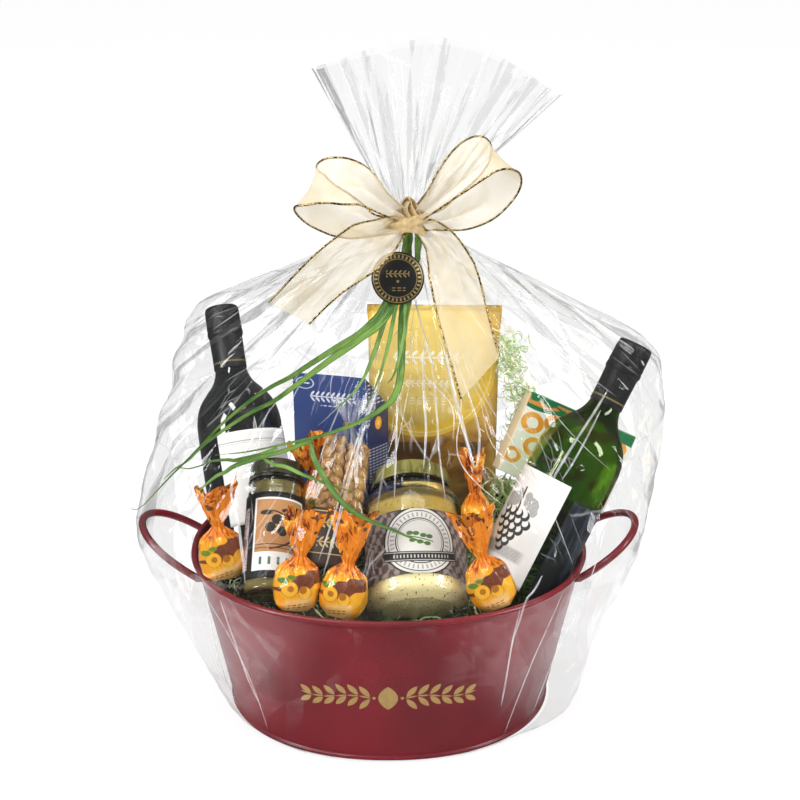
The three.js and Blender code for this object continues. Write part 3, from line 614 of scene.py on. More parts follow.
def orchard_label(tree, across, up, paper):
    """Black sheet with a tan panel in a scalloped white border, a plain strip below it."""
    panel_x = calc(tree, "ABSOLUTE", calc(tree, "SUBTRACT", across, 4.0))
    scallop = calc(tree, "MULTIPLY", calc(tree, "SINE", calc(tree, "MULTIPLY", up, 2.6)), 0.35)
    border = both(tree, below(tree, calc(tree, "ADD", panel_x, scallop), 23.0), between(tree, up, -31.0, 32.5))
    tan = both(tree, below(tree, panel_x, 21.2), between(tree, up, -15.0, 30.8))
    strip = both(tree, below(tree, panel_x, 20.0), between(tree, up, -28.5, -17.0))
    boxes = calc(tree, "ABSOLUTE", calc(tree, "SINE", calc(tree, "MULTIPLY", across, 0.42)))
    boxes = both(tree, strip, spread(tree, boxes, 0.82, 0.95), between(tree, up, -26.0, -19.5))
    ground = tint(tree, clouds(tree, places(tree), 240, 3), (0.42, 0.19, 0.06), (0.52, 0.26, 0.09))
    fruit = either(tree, *[below(tree, from_middle(tree, across, up, x, y), 4.4)
                           for x, y in ((-4, 6), (6, 3), (1, 13), (12, 10))])
    stems = both(tree, between(tree, from_middle(tree, across, up, -14.0, 4.0, 0.55), 17.0, 18.2),
                 between(tree, across, -4.0, 20.0))
    leaves = either(tree, *[below(tree, from_middle(tree, across, up, x, y, 0.4), 2.2)
                            for x, y in ((-8, 19), (10, 21), (14, 17))])
    side = both(tree, between(tree, across, -34.0, -25.5), between(tree, up, -29.0, 26.0))
    text = both(tree, side, spread(tree, calc(tree, "SINE", calc(tree, "MULTIPLY", up, 2.3)), 0.0, 0.3),
                spread(tree, clouds(tree, stretched(tree, places(tree), (1, 1, 0.3)), 700, 2), 0.46, 0.54))
    colour = tint(tree, border, (0.008, 0.008, 0.009), (0.82, 0.80, 0.76))
    colour = tint(tree, side, colour, (0.56, 0.46, 0.47))
    colour = tint(tree, text, colour, (0.10, 0.06, 0.07))
    colour = tint(tree, tan, colour, ground)
    colour = tint(tree, both(tree, tan, either(tree, fruit, stems, leaves)), colour, (0.025, 0.018, 0.014))
    rules = both(tree, tan, either(tree, between(tree, up, -9.0, -8.2), between(tree, up, -12.0, -11.4)))
    colour = tint(tree, rules, colour, (0.05, 0.03, 0.02))
    colour = tint(tree, strip, colour, (0.80, 0.80, 0.77))
    return tint(tree, boxes, colour, (0.05, 0.12, 0.09))


def medallion_label(tree, across, up, paper):
    """A damask sheet with a cream medallion of rings and a sprig, and a dark curved ribbon."""
    where = places(tree)
    away = from_middle(tree, across, up, 0.0, 0.0)
    drift = calc(tree, "MULTIPLY", clouds(tree, where, 90, 2), 9.0)
    damask_x = calc(tree, "SINE", calc(tree, "ADD", calc(tree, "MULTIPLY", across, 0.62), drift))
    damask_y = calc(tree, "SINE", calc(tree, "ADD", calc(tree, "MULTIPLY", up, 0.48), drift))
    damask = spread(tree, calc(tree, "ADD", calc(tree, "MULTIPLY", damask_x, damask_y),
                               calc(tree, "MULTIPLY", clouds(tree, where, 300, 3), 1.2)), 0.35, 0.85)
    colour = tint(tree, damask, (0.075, 0.055, 0.050), (0.26, 0.20, 0.18))
    colour = tint(tree, below(tree, away, 31.0), colour, (0.012, 0.012, 0.012))
    disc = tint(tree, clouds(tree, where, 120, 2), (0.60, 0.58, 0.53), (0.70, 0.68, 0.64))
    colour = tint(tree, below(tree, away, 29.6), colour, disc)
    rings = either(tree, between(tree, away, 26.6, 27.4), between(tree, away, 19.6, 20.6), between(tree, away, 18.3, 18.7))
    turn = calc(tree, "ARCTAN2", up, across)
    ticks = both(tree, between(tree, away, 21.6, 25.4),
                 spread(tree, calc(tree, "SINE", calc(tree, "MULTIPLY", turn, 40.0)), 0.2, 0.6))
    colour = tint(tree, rings, colour, (0.02, 0.02, 0.02))
    colour = tint(tree, calc(tree, "MULTIPLY", ticks, 0.55), colour, (0.05, 0.05, 0.05))
    sprig = both(tree, between(tree, calc(tree, "ADD", up, calc(tree, "MULTIPLY", across, 0.25)), 1.6, 2.6),
                 between(tree, across, -11.0, 11.0))
    berries = either(tree, *[below(tree, from_middle(tree, across, up, x, y, 0.7), 1.9)
                             for x, y in ((-8, 7), (-3, 6.5), (3, 4.6), (8, 3.8), (-6, 0.5), (0, -1.2), (6, -2.6))])
    colour = tint(tree, either(tree, sprig, berries), colour, (0.07, 0.16, 0.03))
    sagging = calc(tree, "ADD", up, calc(tree, "MULTIPLY", calc(tree, "MULTIPLY", across, across), -0.004))
    ribbon = both(tree, between(tree, sagging, -18.5, -9.5), between(tree, across, -31.5, 31.5))
    colour = tint(tree, ribbon, colour, (0.015, 0.016, 0.015))
    edge = both(tree, between(tree, across, -31.0, 31.0),
                either(tree, between(tree, sagging, -17.6, -17.0), between(tree, sagging, -11.0, -10.4)))
    colour = tint(tree, edge, colour, (0.55, 0.54, 0.50))
    beads = both(tree, between(tree, sagging, -15.4, -12.6), between(tree, across, -24.0, 24.0),
                 spread(tree, calc(tree, "SINE", calc(tree, "MULTIPLY", across, 2.2)), 0.1, 0.5))
    return tint(tree, beads, colour, (0.50, 0.49, 0.45))


def lid_metal(name, side_colour, radius_out):
    """Black enamelled lid with a knurled side of another colour, scuffed on its edge."""
    material, tree, principled = new_material(name, Metallic=0.3, Coat_Weight=0.6, Coat_Roughness=0.1)
    where = places(tree)
    split = put(tree, "ShaderNodeSeparateXYZ", {0: where})
    radius = calc(tree, "SQRT", calc(tree, "ADD", calc(tree, "MULTIPLY", split.outputs[0], split.outputs[0]),
                                     calc(tree, "MULTIPLY", split.outputs[1], split.outputs[1])))
    turn = calc(tree, "ARCTAN2", split.outputs[1], split.outputs[0])
    knurl = calc(tree, "SINE", calc(tree, "MULTIPLY", turn, 90.0))
    scuff = clouds(tree, stretched(tree, where, (1, 1, 0.2)), 120, 4)
    on_side = spread(tree, radius, (radius_out - 1.6) * MM, (radius_out - 0.6) * MM)
    side = both(tree, on_side, spread(tree, scuff, 0.3, 0.55, 0.3, 1.0))
    colour = tint(tree, side, (0.012, 0.014, 0.011), side_colour)
    tree.links.new(colour, principled.inputs["Base Color"])
    tree.links.new(spread(tree, scuff, 0.3, 0.7, 0.2, 0.4), principled.inputs["Roughness"])
    raise_surface(tree, principled, calc(tree, "MULTIPLY", knurl, on_side), 0.3, 0.3)
    return material


def make_jar(spec, names, materials):
    r, h, place = spec["radius"], spec["height"], spec["place"]
    mouth = r * spec["mouth"]
    shoulder = h - LID_HEIGHT - 5
    outside = [
        (0.5, 2.4), (r * 0.66, 2), (r * 0.72, 0.3), (r * 0.78, 0), (r - 4, 0.6), (r, r * 0.16), (r, r * 0.34),
        (r - 1.4, r * 0.44), (r - 1.4, shoulder * 0.6), (r - 1.4, shoulder - r * 0.4),
        (max(r - 4, mouth + 0.6), shoulder - r * 0.14), (mouth, shoulder), (mouth + 2.2, shoulder + 1.6),
        (mouth + 2.2, shoulder + 3), (mouth, shoulder + 4.4), (mouth, h - 2),
    ]
    inside = [
        (mouth - JAR_WALL, h - 2), (mouth - JAR_WALL, shoulder - 1),
        (max(r - 7, mouth - JAR_WALL), shoulder - r * 0.2),
        (r - 1.4 - JAR_WALL, shoulder - r * 0.44), (r - 1.4 - JAR_WALL, r * 0.3), (r - 7, 5), (0.5, 5),
    ]
    food = [
        (0.5, 5.3), (r - 7.4, 5.7), (r - 1.8 - JAR_WALL, r * 0.3 + 0.6), (r - 1.8 - JAR_WALL, shoulder - r * 0.44 - 0.4),
        (max(r - 7.4, mouth - JAR_WALL - 0.4), shoulder - r * 0.2 - 0.4),
        (mouth - JAR_WALL - 0.5, spec["fill"]), (0.5, spec["fill"]),
    ]
    lid = [
        (0.5, h - 1.7), (mouth + 0.3, h - 1.7), (mouth + 0.3, h - LID_HEIGHT), (mouth + 1.7, h - LID_HEIGHT),
        (mouth + 1.9, h - LID_HEIGHT + 1.4), (mouth + 1.4, h - LID_HEIGHT + 2.4), (mouth + 1.4, h - 2.4),
        (mouth + 0.9, h - 0.8), (mouth - 1, h), (mouth - 3, h - 0.6), (0.5, h - 0.6),
    ]
    parts = (rounded(outside, 2) + rounded(inside, 1), rounded(food, 1), rounded(lid, 1))
    for node_name, profile, material in zip(names, parts, materials):
        piece = make_piece(node_name + "_made", turned(profile, 96), material, place)
        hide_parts(node_name)


olive_sauce = filling("olive_sauce", (0.23, 0.18, 0.045), (0.11, 0.09, 0.020), (0.02, 0.018, 0.008), 260, 0.46)
# 0.9 is the mustard's painted shade under the lid; the last colour is its painted light near the bottom.
grainy_mustard = filling("grainy_mustard", (0.56, 0.39, 0.085), (0.40, 0.26, 0.045), (0.10, 0.05, 0.015), 380, 0.44,
                         0.9, (1.0, 0.86, 0.46))
jar_glass = wavy_glass("jar_glass", 40, (0.93, 0.95, 0.92), (0.97, 0.98, 0.97), 1.45, (0.96, 0.97, 0.95))
make_jar(SAUCE_JAR, ("jar_sauce", "sauce", "lid_sauce"),
         (jar_glass, olive_sauce, lid_metal("sauce_lid", (0.05, 0.045, 0.02), 23.3)))
make_jar(CREAM_JAR, ("jar_cream", "cream", "lid_cream"),
         (jar_glass, grainy_mustard, lid_metal("cream_lid", (0.30, 0.28, 0.06), 33.8)))
jar_labels = {
    "sauce_label": (SAUCE_JAR, 13, 88, math.radians(-168), math.radians(2), orchard_label),
    "cream_label": (CREAM_JAR, 17, 75, math.radians(-81 - 78), math.radians(-81 + 78), medallion_label),
}
for name, (spec, low, high, first, last, drawing) in jar_labels.items():
    patch, prints = wrapped(lambda z: spec["radius"] - 1.4, low, high, first, last, 0.35, 30, 90)
    label = make_piece(name, patch, label_paper(name, drawing), spec["place"], prints=prints)
    thicken(label, 0.15)

# Packs behind the jars. A sealed foil bag of crackers, a folded board box and
# a printed carton, each leaning back into the shred.
PACKS = {
    "pack_gold": {"size": (118, 28, 190), "foot": (38, 74, 138), "axis": (0.01, 0.13, 0.99), "twist": 0},
    "pack_blue": {"size": (74, 38, 138), "foot": (-40, 38.5, 141), "axis": (-0.02, 0.22, 0.975), "twist": -0.5},
    "carton_green": {"size": (104, 24, 66), "foot": (142.5, 46.5, 180), "axis": (0.395, 0.359, 0.84),
                     "twist": 0.016},
    "pack_crackers": {"size": (42, 24, 118), "foot": (-48, -48, 144), "axis": (0.12, 0.5, 0.85), "twist": 0},
}


def pack_place(name):
    return standing(PACKS[name]["foot"], PACKS[name]["axis"], PACKS[name]["twist"])


def rough(x, y, z, scale, seed=0.0):
    """Smooth noise from -1 to 1 over a place in millimetres."""
    return noise.noise(Vector((x * scale + seed, y * scale - seed, z * scale + 2 * seed)))


def pouch(size, crinkle, rows=80, sides=128, seal=7):
    """A sealed pouch: full in the middle, flat and finely fluted at both seals."""
    width, depth, height = size
    rings, prints = [], []
    for row in range(rows + 1):
        t = row / rows
        fat = math.sin(math.pi * min(max(1.06 * t - 0.03, 0), 1)) ** 0.55
        near_seal = max(0, 1 - min(t, 1 - t) * height / (3.5 * seal))
        ring = []
        for x, y, z in oval_ring(width / 2 - 2 * fat, max(0.6, depth / 2 * fat), 3, t * height, sides):
            flute = 0.5 * near_seal * math.sin(x * 1.1 + 3 * rough(x, 0, z, 0.05))
            dent = crinkle * fat * (rough(x, y, z, 0.05, 3) + 0.5 * rough(x, y, z, 0.13, 7))
            ring.append((x, y + math.copysign(1, y) * (dent - 0.4 * crinkle) + flute, z))
            prints.append((x, z - height / 2))
        rings.append(ring)
    points, faces = skin(rings)
    return (points, faces), prints + [(0, -height / 2), (0, height / 2)]


def board_box(size, back_drop=0.0, low=0.0, round_by=0.8, bow=0.6):
    """A folded board box with softly rounded folds; the print map unrolls its four sides.

    Its back edge is lower than its front by back_drop, and its foot reaches low below its place.
    """
    width, depth, height = size
    sides = ((-width / 2, -depth / 2), (width / 2, -depth / 2), (width / 2, depth / 2), (-width / 2, depth / 2))
    outline, unrolled, run = [], [], -width / 2
    for i, (x0, y0) in enumerate(sides):
        x1, y1 = sides[(i + 1) % 4]
        length = math.hypot(x1 - x0, y1 - y0)
        along = ((x1 - x0) / length, (y1 - y0) / length)
        for step in range(13):
            at = round_by + (length - 2 * round_by) * step / 12
            out = bow * math.sin(math.pi * step / 12)
            outline.append((x0 + along[0] * at + along[1] * out, y0 + along[1] * at - along[0] * out))
            unrolled.append(run + at)
        run += length
    points, prints = [], []
    levels = [(0, -round_by), (round_by, 0)] + [(height * k / 16, 0) for k in range(1, 16)]
    levels += [(height - round_by, 0), (height, -round_by)]
    for z, inset in levels:
        for (x, y), u in zip(outline, unrolled):
            shrink = 1 + inset / max(abs(x), abs(y))
            rise = z * (height + low - back_drop * (y / depth + 0.5)) / height - low
            points.append((x * shrink, y * shrink, rise))
            prints.append((u, rise - height / 2))
    count = len(outline)
    faces = []
    for row in range(len(levels) - 1):
        for i in range(count):
            a, b = row * count + i, row * count + (i + 1) % count
            faces.append((a, b, b + count, a + count))
    for row, z in ((0, 0), (len(levels) - 1, height)):
        ring = list(range(row * count, row * count + count))
        faces.append(tuple(reversed(ring)) if row == 0 else tuple(ring))
    return (points, faces), prints


def leaf_branch_effect():
    """A group that gives the mask of a drawn branch: a stem with a leaf pair at every pitch."""
    group = bpy.data.node_groups.new("leaf_branch", "ShaderNodeTree")
    for name in ("Across", "Up", "Half Length", "Pitch", "Leaf"):
        group.interface.new_socket(name, in_out="INPUT", socket_type="NodeSocketFloat")
    group.interface.new_socket("Mask", in_out="OUTPUT", socket_type="NodeSocketFloat")
    given = group.nodes.new("NodeGroupInput").outputs
    across, up, half, pitch, leaf = [given[n] for n in ("Across", "Up", "Half Length", "Pitch", "Leaf")]
    height = calc(group, "ABSOLUTE", up)
    inside = calc(group, "LESS_THAN", calc(group, "ABSOLUTE", across), half)
    stem = both(group, inside, calc(group, "LESS_THAN", height, calc(group, "MULTIPLY", leaf, 0.12)))
    cell = calc(group, "SUBTRACT", calc(group, "FLOORED_MODULO", across, pitch), calc(group, "MULTIPLY", pitch, 0.5))
    lifted = calc(group, "SUBTRACT", height, calc(group, "MULTIPLY", leaf, 0.62))
    long_way = calc(group, "MULTIPLY", calc(group, "ADD", cell, lifted), 0.7)
    short_way = calc(group, "MULTIPLY", calc(group, "SUBTRACT", lifted, cell), 1.9)
    oval = calc(group, "SQRT", calc(group, "ADD", calc(group, "MULTIPLY", long_way, long_way),
                                    calc(group, "MULTIPLY", short_way, short_way)))
    leaves = both(group, inside, calc(group, "LESS_THAN", oval, calc(group, "MULTIPLY", leaf, 0.62)))
    end = group.nodes.new("NodeGroupOutput")
    group.links.new(either(group, stem, leaves), end.inputs["Mask"])
    return group


leaf_branch = leaf_branch_effect()


def branch(tree, across, up, x, y, half, pitch, leaf):
    """Places the branch with its middle at x, y of a print."""
    node = put(tree, "ShaderNodeGroup", node_tree=leaf_branch)
    tree.links.new(calc(tree, "SUBTRACT", across, x), node.inputs["Across"])
    tree.links.new(calc(tree, "SUBTRACT", up, y), node.inputs["Up"])
    for name, value in (("Half Length", half), ("Pitch", pitch), ("Leaf", leaf)):
        node.inputs[name].default_value = value
    return node.outputs[0]


def drawn_rows(tree, across, up, rows, pace, left, right, step=2.6):
    """Fine broken rules, one under another, from the height rows downwards."""
    line = spread(tree, calc(tree, "SINE", calc(tree, "MULTIPLY", up, 2 * math.pi / step)), 0.35, 0.75)
    gaps = spread(tree, calc(tree, "SINE", calc(tree, "MULTIPLY", across, pace)), -0.55, -0.3)
    return both(tree, line, gaps, between(tree, up, rows[0], rows[1]), between(tree, across, left, right))


def gold_bag():
    material, tree, principled = new_material("gold_bag", Metallic=0.15, Coat_Weight=0.6, Coat_Roughness=0.12)
    across, up = print_map(tree)
    where = places(tree)
    sheen = clouds(tree, where, 30, 3)
    ground = tint(tree, sheen, (0.58, 0.34, 0.055), (0.70, 0.44, 0.09))
    away = from_middle(tree, across, up, -10.0, 43.0)
    lower = below(tree, up, -18.0, 9.0)
    patches = spread(tree, clouds(tree, where, 34, 4, 0.6, 1.2), 0.38, 0.62)
    amber = tint(tree, patches, (0.50, 0.25, 0.04), (0.22, 0.095, 0.02))
    colour = tint(tree, calc(tree, "MULTIPLY", lower, between(tree, across, -60.0, 50.0, 3.0)), ground, amber)
    band = both(tree, between(tree, up, -44.0, -27.0, 0.6), either(
        tree, between(tree, across, -50.0, -2.0, 1.0), between(tree, across, 24.0, 43.0, 2.0)))
    colour = tint(tree, calc(tree, "MULTIPLY", band, 0.8), colour, (0.10, 0.045, 0.015))
    disc = tint(tree, sheen, (0.74, 0.52, 0.10), (0.86, 0.66, 0.20))
    ring = tint(tree, sheen, (0.80, 0.50, 0.035), (0.86, 0.58, 0.07))
    colour = tint(tree, below(tree, away, 65.0, 0.5), colour, ring)
    colour = tint(tree, below(tree, away, 53.0, 3.0), colour, disc)
    line = between(tree, away, 60.5, 61.3)
    colour = tint(tree, calc(tree, "MULTIPLY", line, 0.7), colour, (0.95, 0.85, 0.5))
    cells = put(tree, "ShaderNodeTexVoronoi", {"Vector": where, "Scale": 230}).outputs["Distance"]
    herbs = both(tree, below(tree, cells, 0.13, 0.05), below(tree, up, 34.0, 14.0),
                 spread(tree, clouds(tree, where, 90, 2), 0.5, 0.56))
    colour = tint(tree, herbs, colour, (0.12, 0.09, 0.02))
    white = either(tree, branch(tree, across, up, -6.0, 50.0, 30.0, 7.5, 5.4),
                   branch(tree, across, up, -6.0, 27.0, 22.0, 5.0, 3.2),
                   drawn_rows(tree, across, up, (8.0, 15.5), 0.9, -22.0, 12.0))
    colour = tint(tree, calc(tree, "MULTIPLY", white, 0.85), colour, (0.90, 0.88, 0.78))
    tree.links.new(colour, principled.inputs["Base Color"])
    tree.links.new(spread(tree, sheen, 0.3, 0.7, 0.28, 0.42), principled.inputs["Roughness"])
    crease = clouds(tree, where, 85, 4, 0.6, 1.0)
    raise_surface(tree, principled, crease, 0.35, 1.6)
    return material


def blue_board():
    material, tree, principled = new_material("blue_board", Coat_Weight=0.35, Coat_Roughness=0.25)
    across, up = print_map(tree)
    where = places(tree)
    fade = clouds(tree, where, 16, 2)
    front = tint(tree, fade, (0.010, 0.032, 0.15), (0.022, 0.058, 0.23))
    # Painted shade: past the front's right edge the box turns a darker blue.
    colour = tint(tree, spread(tree, across, 36.8, 37.2), front, (0.006, 0.018, 0.10))
    corner = either(tree, between(tree, from_middle(tree, across, up, -24.0, 61.0, 0.55), 4.6, 5.2),
                    both(tree, between(tree, across, -29.0, -19.0), between(tree, up, 60.4, 61.4)))
    marks = either(tree, corner, branch(tree, across, up, 2.0, 50.0, 21.0, 5.2, 4.2),
                   drawn_rows(tree, across, up, (41.0, 44.2), 1.3, -8.0, 12.0),
                   drawn_rows(tree, across, up, (-24.0, 8.0), 1.1, 40.0, 71.0),
                   drawn_rows(tree, across, up, (44.0, 64.0), 0.8, 40.0, 71.0, 3.4))
    colour = tint(tree, calc(tree, "MULTIPLY", marks, 0.8), colour, (0.78, 0.80, 0.88))
    seal = from_middle(tree, across, up, 56.0, 27.0)
    colour = tint(tree, below(tree, seal, 5.6), colour, (0.86, 0.36, 0.02))
    colour = tint(tree, below(tree, seal, 2.6), colour, (0.92, 0.62, 0.12))
    slices = both(tree, between(tree, from_middle(tree, across, calc(tree, "FLOORED_MODULO", up, 17.0), -14.0, 8.5),
                                2.0, 7.0), below(tree, up, -22.0))
    colour = tint(tree, slices, colour, (0.62, 0.30, 0.07))
    fold = both(tree, between(tree, across, 36.4, 37.6, 0.3), spread(tree, clouds(tree, where, 220, 3), 0.45, 0.6))
    colour = tint(tree, fold, colour, (0.40, 0.44, 0.62))
    tree.links.new(colour, principled.inputs["Base Color"])
    tree.links.new(spread(tree, fade, 0.3, 0.7, 0.32, 0.42), principled.inputs["Roughness"])
    raise_surface(tree, principled, clouds(tree, where, 700, 2), 0.1, 0.1)
    return material


def snack_board():
    material, tree, principled = new_material("snack_board", Coat_Weight=0.35, Coat_Roughness=0.2)
    across, up = print_map(tree)
    where = places(tree)
    soft = clouds(tree, where, 60, 3)
    colour = tint(tree, soft, (0.74, 0.72, 0.68), (0.84, 0.83, 0.80))
    bake = tint(tree, spread(tree, soft, 0.35, 0.65), (0.85, 0.42, 0.05), (0.72, 0.27, 0.02))
    rings = []
    for x, y, r in ((-40, 8, 9), (-22, 14, 8), (-31, -11, 8), (-9, 2, 9), (14, 12, 8), (30, 0, 9), (6, -18, 8),
                    (40, 17, 7), (-46, -24, 7), (26, -22, 8)):
        away = from_middle(tree, across, up, x, y, 0.86)
        rings.append(between(tree, calc(tree, "ADD", away, calc(tree, "MULTIPLY", soft, 2.4)), r * 0.55 + 1, r + 1.4))
    colour = tint(tree, either(tree, *rings), colour, bake)
    top = calc(tree, "ADD", up, calc(tree, "MULTIPLY", calc(tree, "SINE", calc(tree, "MULTIPLY", across, 0.11)), 1.8))
    colour = tint(tree, spread(tree, top, 20.6, 21.2), colour, (0.006, 0.17, 0.055))
    patches = both(tree, spread(tree, clouds(tree, stretched(tree, where, (1, 1, 2.2)), 34, 2), 0.52, 0.55),
                   between(tree, up, 23.0, 30.6))
    colour = tint(tree, patches, colour, (0.66, 0.26, 0.05))
    colour = tint(tree, spread(tree, across, 51.8, 52.2), colour, (0.80, 0.66, 0.44))
    rows = drawn_rows(tree, across, up, (-20.0, 20.0), 1.3, 55.0, 73.0)
    colour = tint(tree, calc(tree, "MULTIPLY", rows, 0.5), colour, (0.45, 0.25, 0.10))
    tree.links.new(colour, principled.inputs["Base Color"])
    tree.links.new(spread(tree, soft, 0.3, 0.7, 0.3, 0.42), principled.inputs["Roughness"])
    raise_surface(tree, principled, clouds(tree, where, 700, 2), 0.1, 0.1)
    return material


shape, prints = pouch(PACKS["pack_gold"]["size"], 1.6)
gold_pack = make_piece("gold_pack_bag", shape, gold_bag(), pack_place("pack_gold"), prints=prints)
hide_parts("pack_gold")
for name, material, slot, back_drop, low in (("pack_blue", blue_board(), "blue_box", 30, 0),
                                             ("carton_green", snack_board(), "carton", 0, 8)):
    shape, prints = board_box(PACKS[name]["size"], back_drop, low)
    box = make_piece(name + "_board", shape, material, pack_place(name), smooth=False, prints=prints)
    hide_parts(name)

# Cracker bag. Braided baked sticks in a clear bag that is gathered with a
# gold tie above them; a brown paper band covers the lower half.
CRACKER_SIZE = PACKS["pack_crackers"]["size"]
BRAID_TOP = 112
BRAID_WIDTH = 21
BRAID_PITCH = 29


def braid(x, y, low, high, width, twist):
    """Three baked strands plaited round each other, as one mesh."""
    shapes = []
    for strand in range(3):
        path = []
        steps = 130
        for step in range(steps + 1):
            t = step / steps
            turn = 2 * math.pi * (t * (high - low) / BRAID_PITCH + strand / 3) + twist
            path.append((x + 0.28 * width * math.sin(turn), y + 0.11 * width * math.sin(2 * turn),
                         low + (high - low) * t))
        shapes.append(tube(path, lambda t: 0.22 * width * (0.7 + 0.3 * math.sin(math.pi * t) ** 0.3), 16))
    return joined(shapes)


crust, tree, principled = new_material("baked_crust", Roughness=0.62, Coat_Weight=0.12, Coat_Roughness=0.4)
where = places(tree)
toasted = spread(tree, clouds(tree, where, 110, 4), 0.36, 0.66)
crevice_shade = put(tree, "ShaderNodeAttribute", attribute_name="tone_and_shade").outputs["Fac"]
crumb = clouds(tree, where, 520, 3)
colour = tint(tree, toasted, (0.52, 0.28, 0.075), (0.27, 0.12, 0.03))
colour = tint(tree, spread(tree, crumb, 0.56, 0.62), colour, (0.66, 0.46, 0.19))
seeds = put(tree, "ShaderNodeTexVoronoi", {"Vector": where, "Scale": 330.0}).outputs["Distance"]
colour = tint(tree, below(tree, seeds, 0.20, 0.06), colour, (0.12, 0.055, 0.02))
# Painted shade: the crust darkens towards the middle of each braid, where the strands meet.
colour = tint(tree, spread(tree, crevice_shade, 0.0, 1.0, 0.4, 1.0), (0.11, 0.045, 0.012), colour)
tree.links.new(colour, principled.inputs["Base Color"])
raise_surface(tree, principled, calc(tree, "ADD", clouds(tree, where, 170, 4), calc(tree, "MULTIPLY", crumb, 0.5)), 0.8, 1.8)
braids = joined([braid(-10, 0, 6, BRAID_TOP, BRAID_WIDTH, 0), braid(10, 0, 4, BRAID_TOP - 5, BRAID_WIDTH, 1.4)])
crackers = make_piece("braided_crackers", braids, crust, pack_place("pack_crackers"))
# The value is painted shade: 0 near each braid's middle, 1 on the outer side of the strands.
crackers.data.attributes.new("tone_and_shade", "FLOAT", "POINT").data.foreach_set("value", np.array(
    [min(1, max(0, (math.hypot(abs(x) - 10, y) / BRAID_WIDTH - 0.20) / 0.16)) for x, y, _ in braids[0]], dtype=np.float32))
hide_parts("pack_crackers")


def cracker_band(tree, across, up, paper):
    kraft = tint(tree, clouds(tree, places(tree), 130, 3), (0.040, 0.022, 0.013), (0.065, 0.036, 0.02))
    marks = either(tree, branch(tree, across, up, 0.0, 12.0, 15.0, 4.6, 4.0),
                   branch(tree, across, up, 0.0, -4.0, 15.0, 4.6, 4.0),
                   between(tree, up, 21.0, 21.8), between(tree, up, -14.0, -13.2))
    return tint(tree, marks, kraft, (0.55, 0.40, 0.16))


def clear_bag_shape():
    """The bag's skin: round the crackers, pinched at the tie, flaring above it."""
    rows = [(2, 19, 8, 0), (8, 21, 11.5, 0.2), (30, 21.3, 12.6, 0.5), (70, 21, 12.4, 0.8), (98, 19, 11.5, 1.2),
            (114, 12, 8, 1.5), (122, 4.2, 3.6, 0.8), (126, 4.2, 3.6, 0.8), (134, 10, 6, 1.6), (146, 17, 9, 2.6)]
    heights = [r[0] for r in rows]
    rings = []
    for z in np.linspace(heights[0], heights[-1], 70):
        half_x, half_y, ruffle = [float(np.interp(z, heights, [r[k] for r in rows])) for k in (1, 2, 3)]
        ring = []
        for k, (x, y, _) in enumerate(oval_ring(half_x, half_y, 2.3, z, 96)):
            angle = 2 * math.pi * k / 96
            fold = 1 + ruffle * 0.07 * math.sin(11 * angle + 0.03 * z) + 0.03 * rough(x, y, z, 0.12, 5)
            ring.append((x * fold, y * fold, z))
        rings.append(ring)
    return skin(rings, ends=False)


def film_creases_effect():
    """A group that gives the creases of crumpled film: lines pulled towards a neck, and flat facets."""
    group = bpy.data.node_groups.new("film_creases", "ShaderNodeTree")
    for name in ("Neck X", "Neck Y", "Neck Z", "Facets"):
        group.interface.new_socket(name, in_out="INPUT", socket_type="NodeSocketFloat")
    for name in ("Height", "Lines"):
        group.interface.new_socket(name, in_out="OUTPUT", socket_type="NodeSocketFloat")
    given = group.nodes.new("NodeGroupInput").outputs
    where = places(group)
    split = put(group, "ShaderNodeSeparateXYZ", {0: where})
    drop = calc(group, "ADD", calc(group, "ABSOLUTE", calc(group, "SUBTRACT", split.outputs[2], given["Neck Z"])), 0.03)
    rays = put(group, "ShaderNodeCombineXYZ", {
        0: calc(group, "DIVIDE", calc(group, "SUBTRACT", split.outputs[0], given["Neck X"]), drop),
        1: calc(group, "DIVIDE", calc(group, "SUBTRACT", split.outputs[1], given["Neck Y"]), drop),
        2: calc(group, "MULTIPLY", split.outputs[2], 1.4)}).outputs[0]
    bent = put(group, "ShaderNodeVectorMath", {
        0: where, 1: put(group, "ShaderNodeTexNoise", {"Vector": where, "Scale": 9.0, "Detail": 1.0}).outputs["Color"],
        2: (0.012, 0.012, 0.012)}, operation="MULTIPLY_ADD").outputs[0]
    tall = stretched(group, bent, (1, 1, 0.5))
    edges = [put(group, "ShaderNodeTexVoronoi", {"Vector": at, "Scale": scale}, feature="DISTANCE_TO_EDGE").outputs[0]
             for at, scale in ((rays, 4.6), (rays, 15.0), (tall, given["Facets"]))]
    height = calc(group, "MULTIPLY", edges[0], 1.9)
    for edge, share in zip(edges[1:], (0.16, 1.0)):
        height = calc(group, "ADD", height, calc(group, "MULTIPLY", edge, share))
    here = clouds(group, where, 17, 2)
    lines = either(group, both(group, below(group, edges[1], 0.016, 0.016), spread(group, here, 0.52, 0.60)),
                   both(group, below(group, edges[0], 0.008, 0.008), spread(group, here, 0.46, 0.54)))
    lines = both(group, lines, spread(group, split.outputs[2], 0.14, 0.22, 0.15, 1.0))
    end = group.nodes.new("NodeGroupOutput")
    group.links.new(height, end.inputs["Height"])
    group.links.new(lines, end.inputs["Lines"])
    return group


film_creases = film_creases_effect()


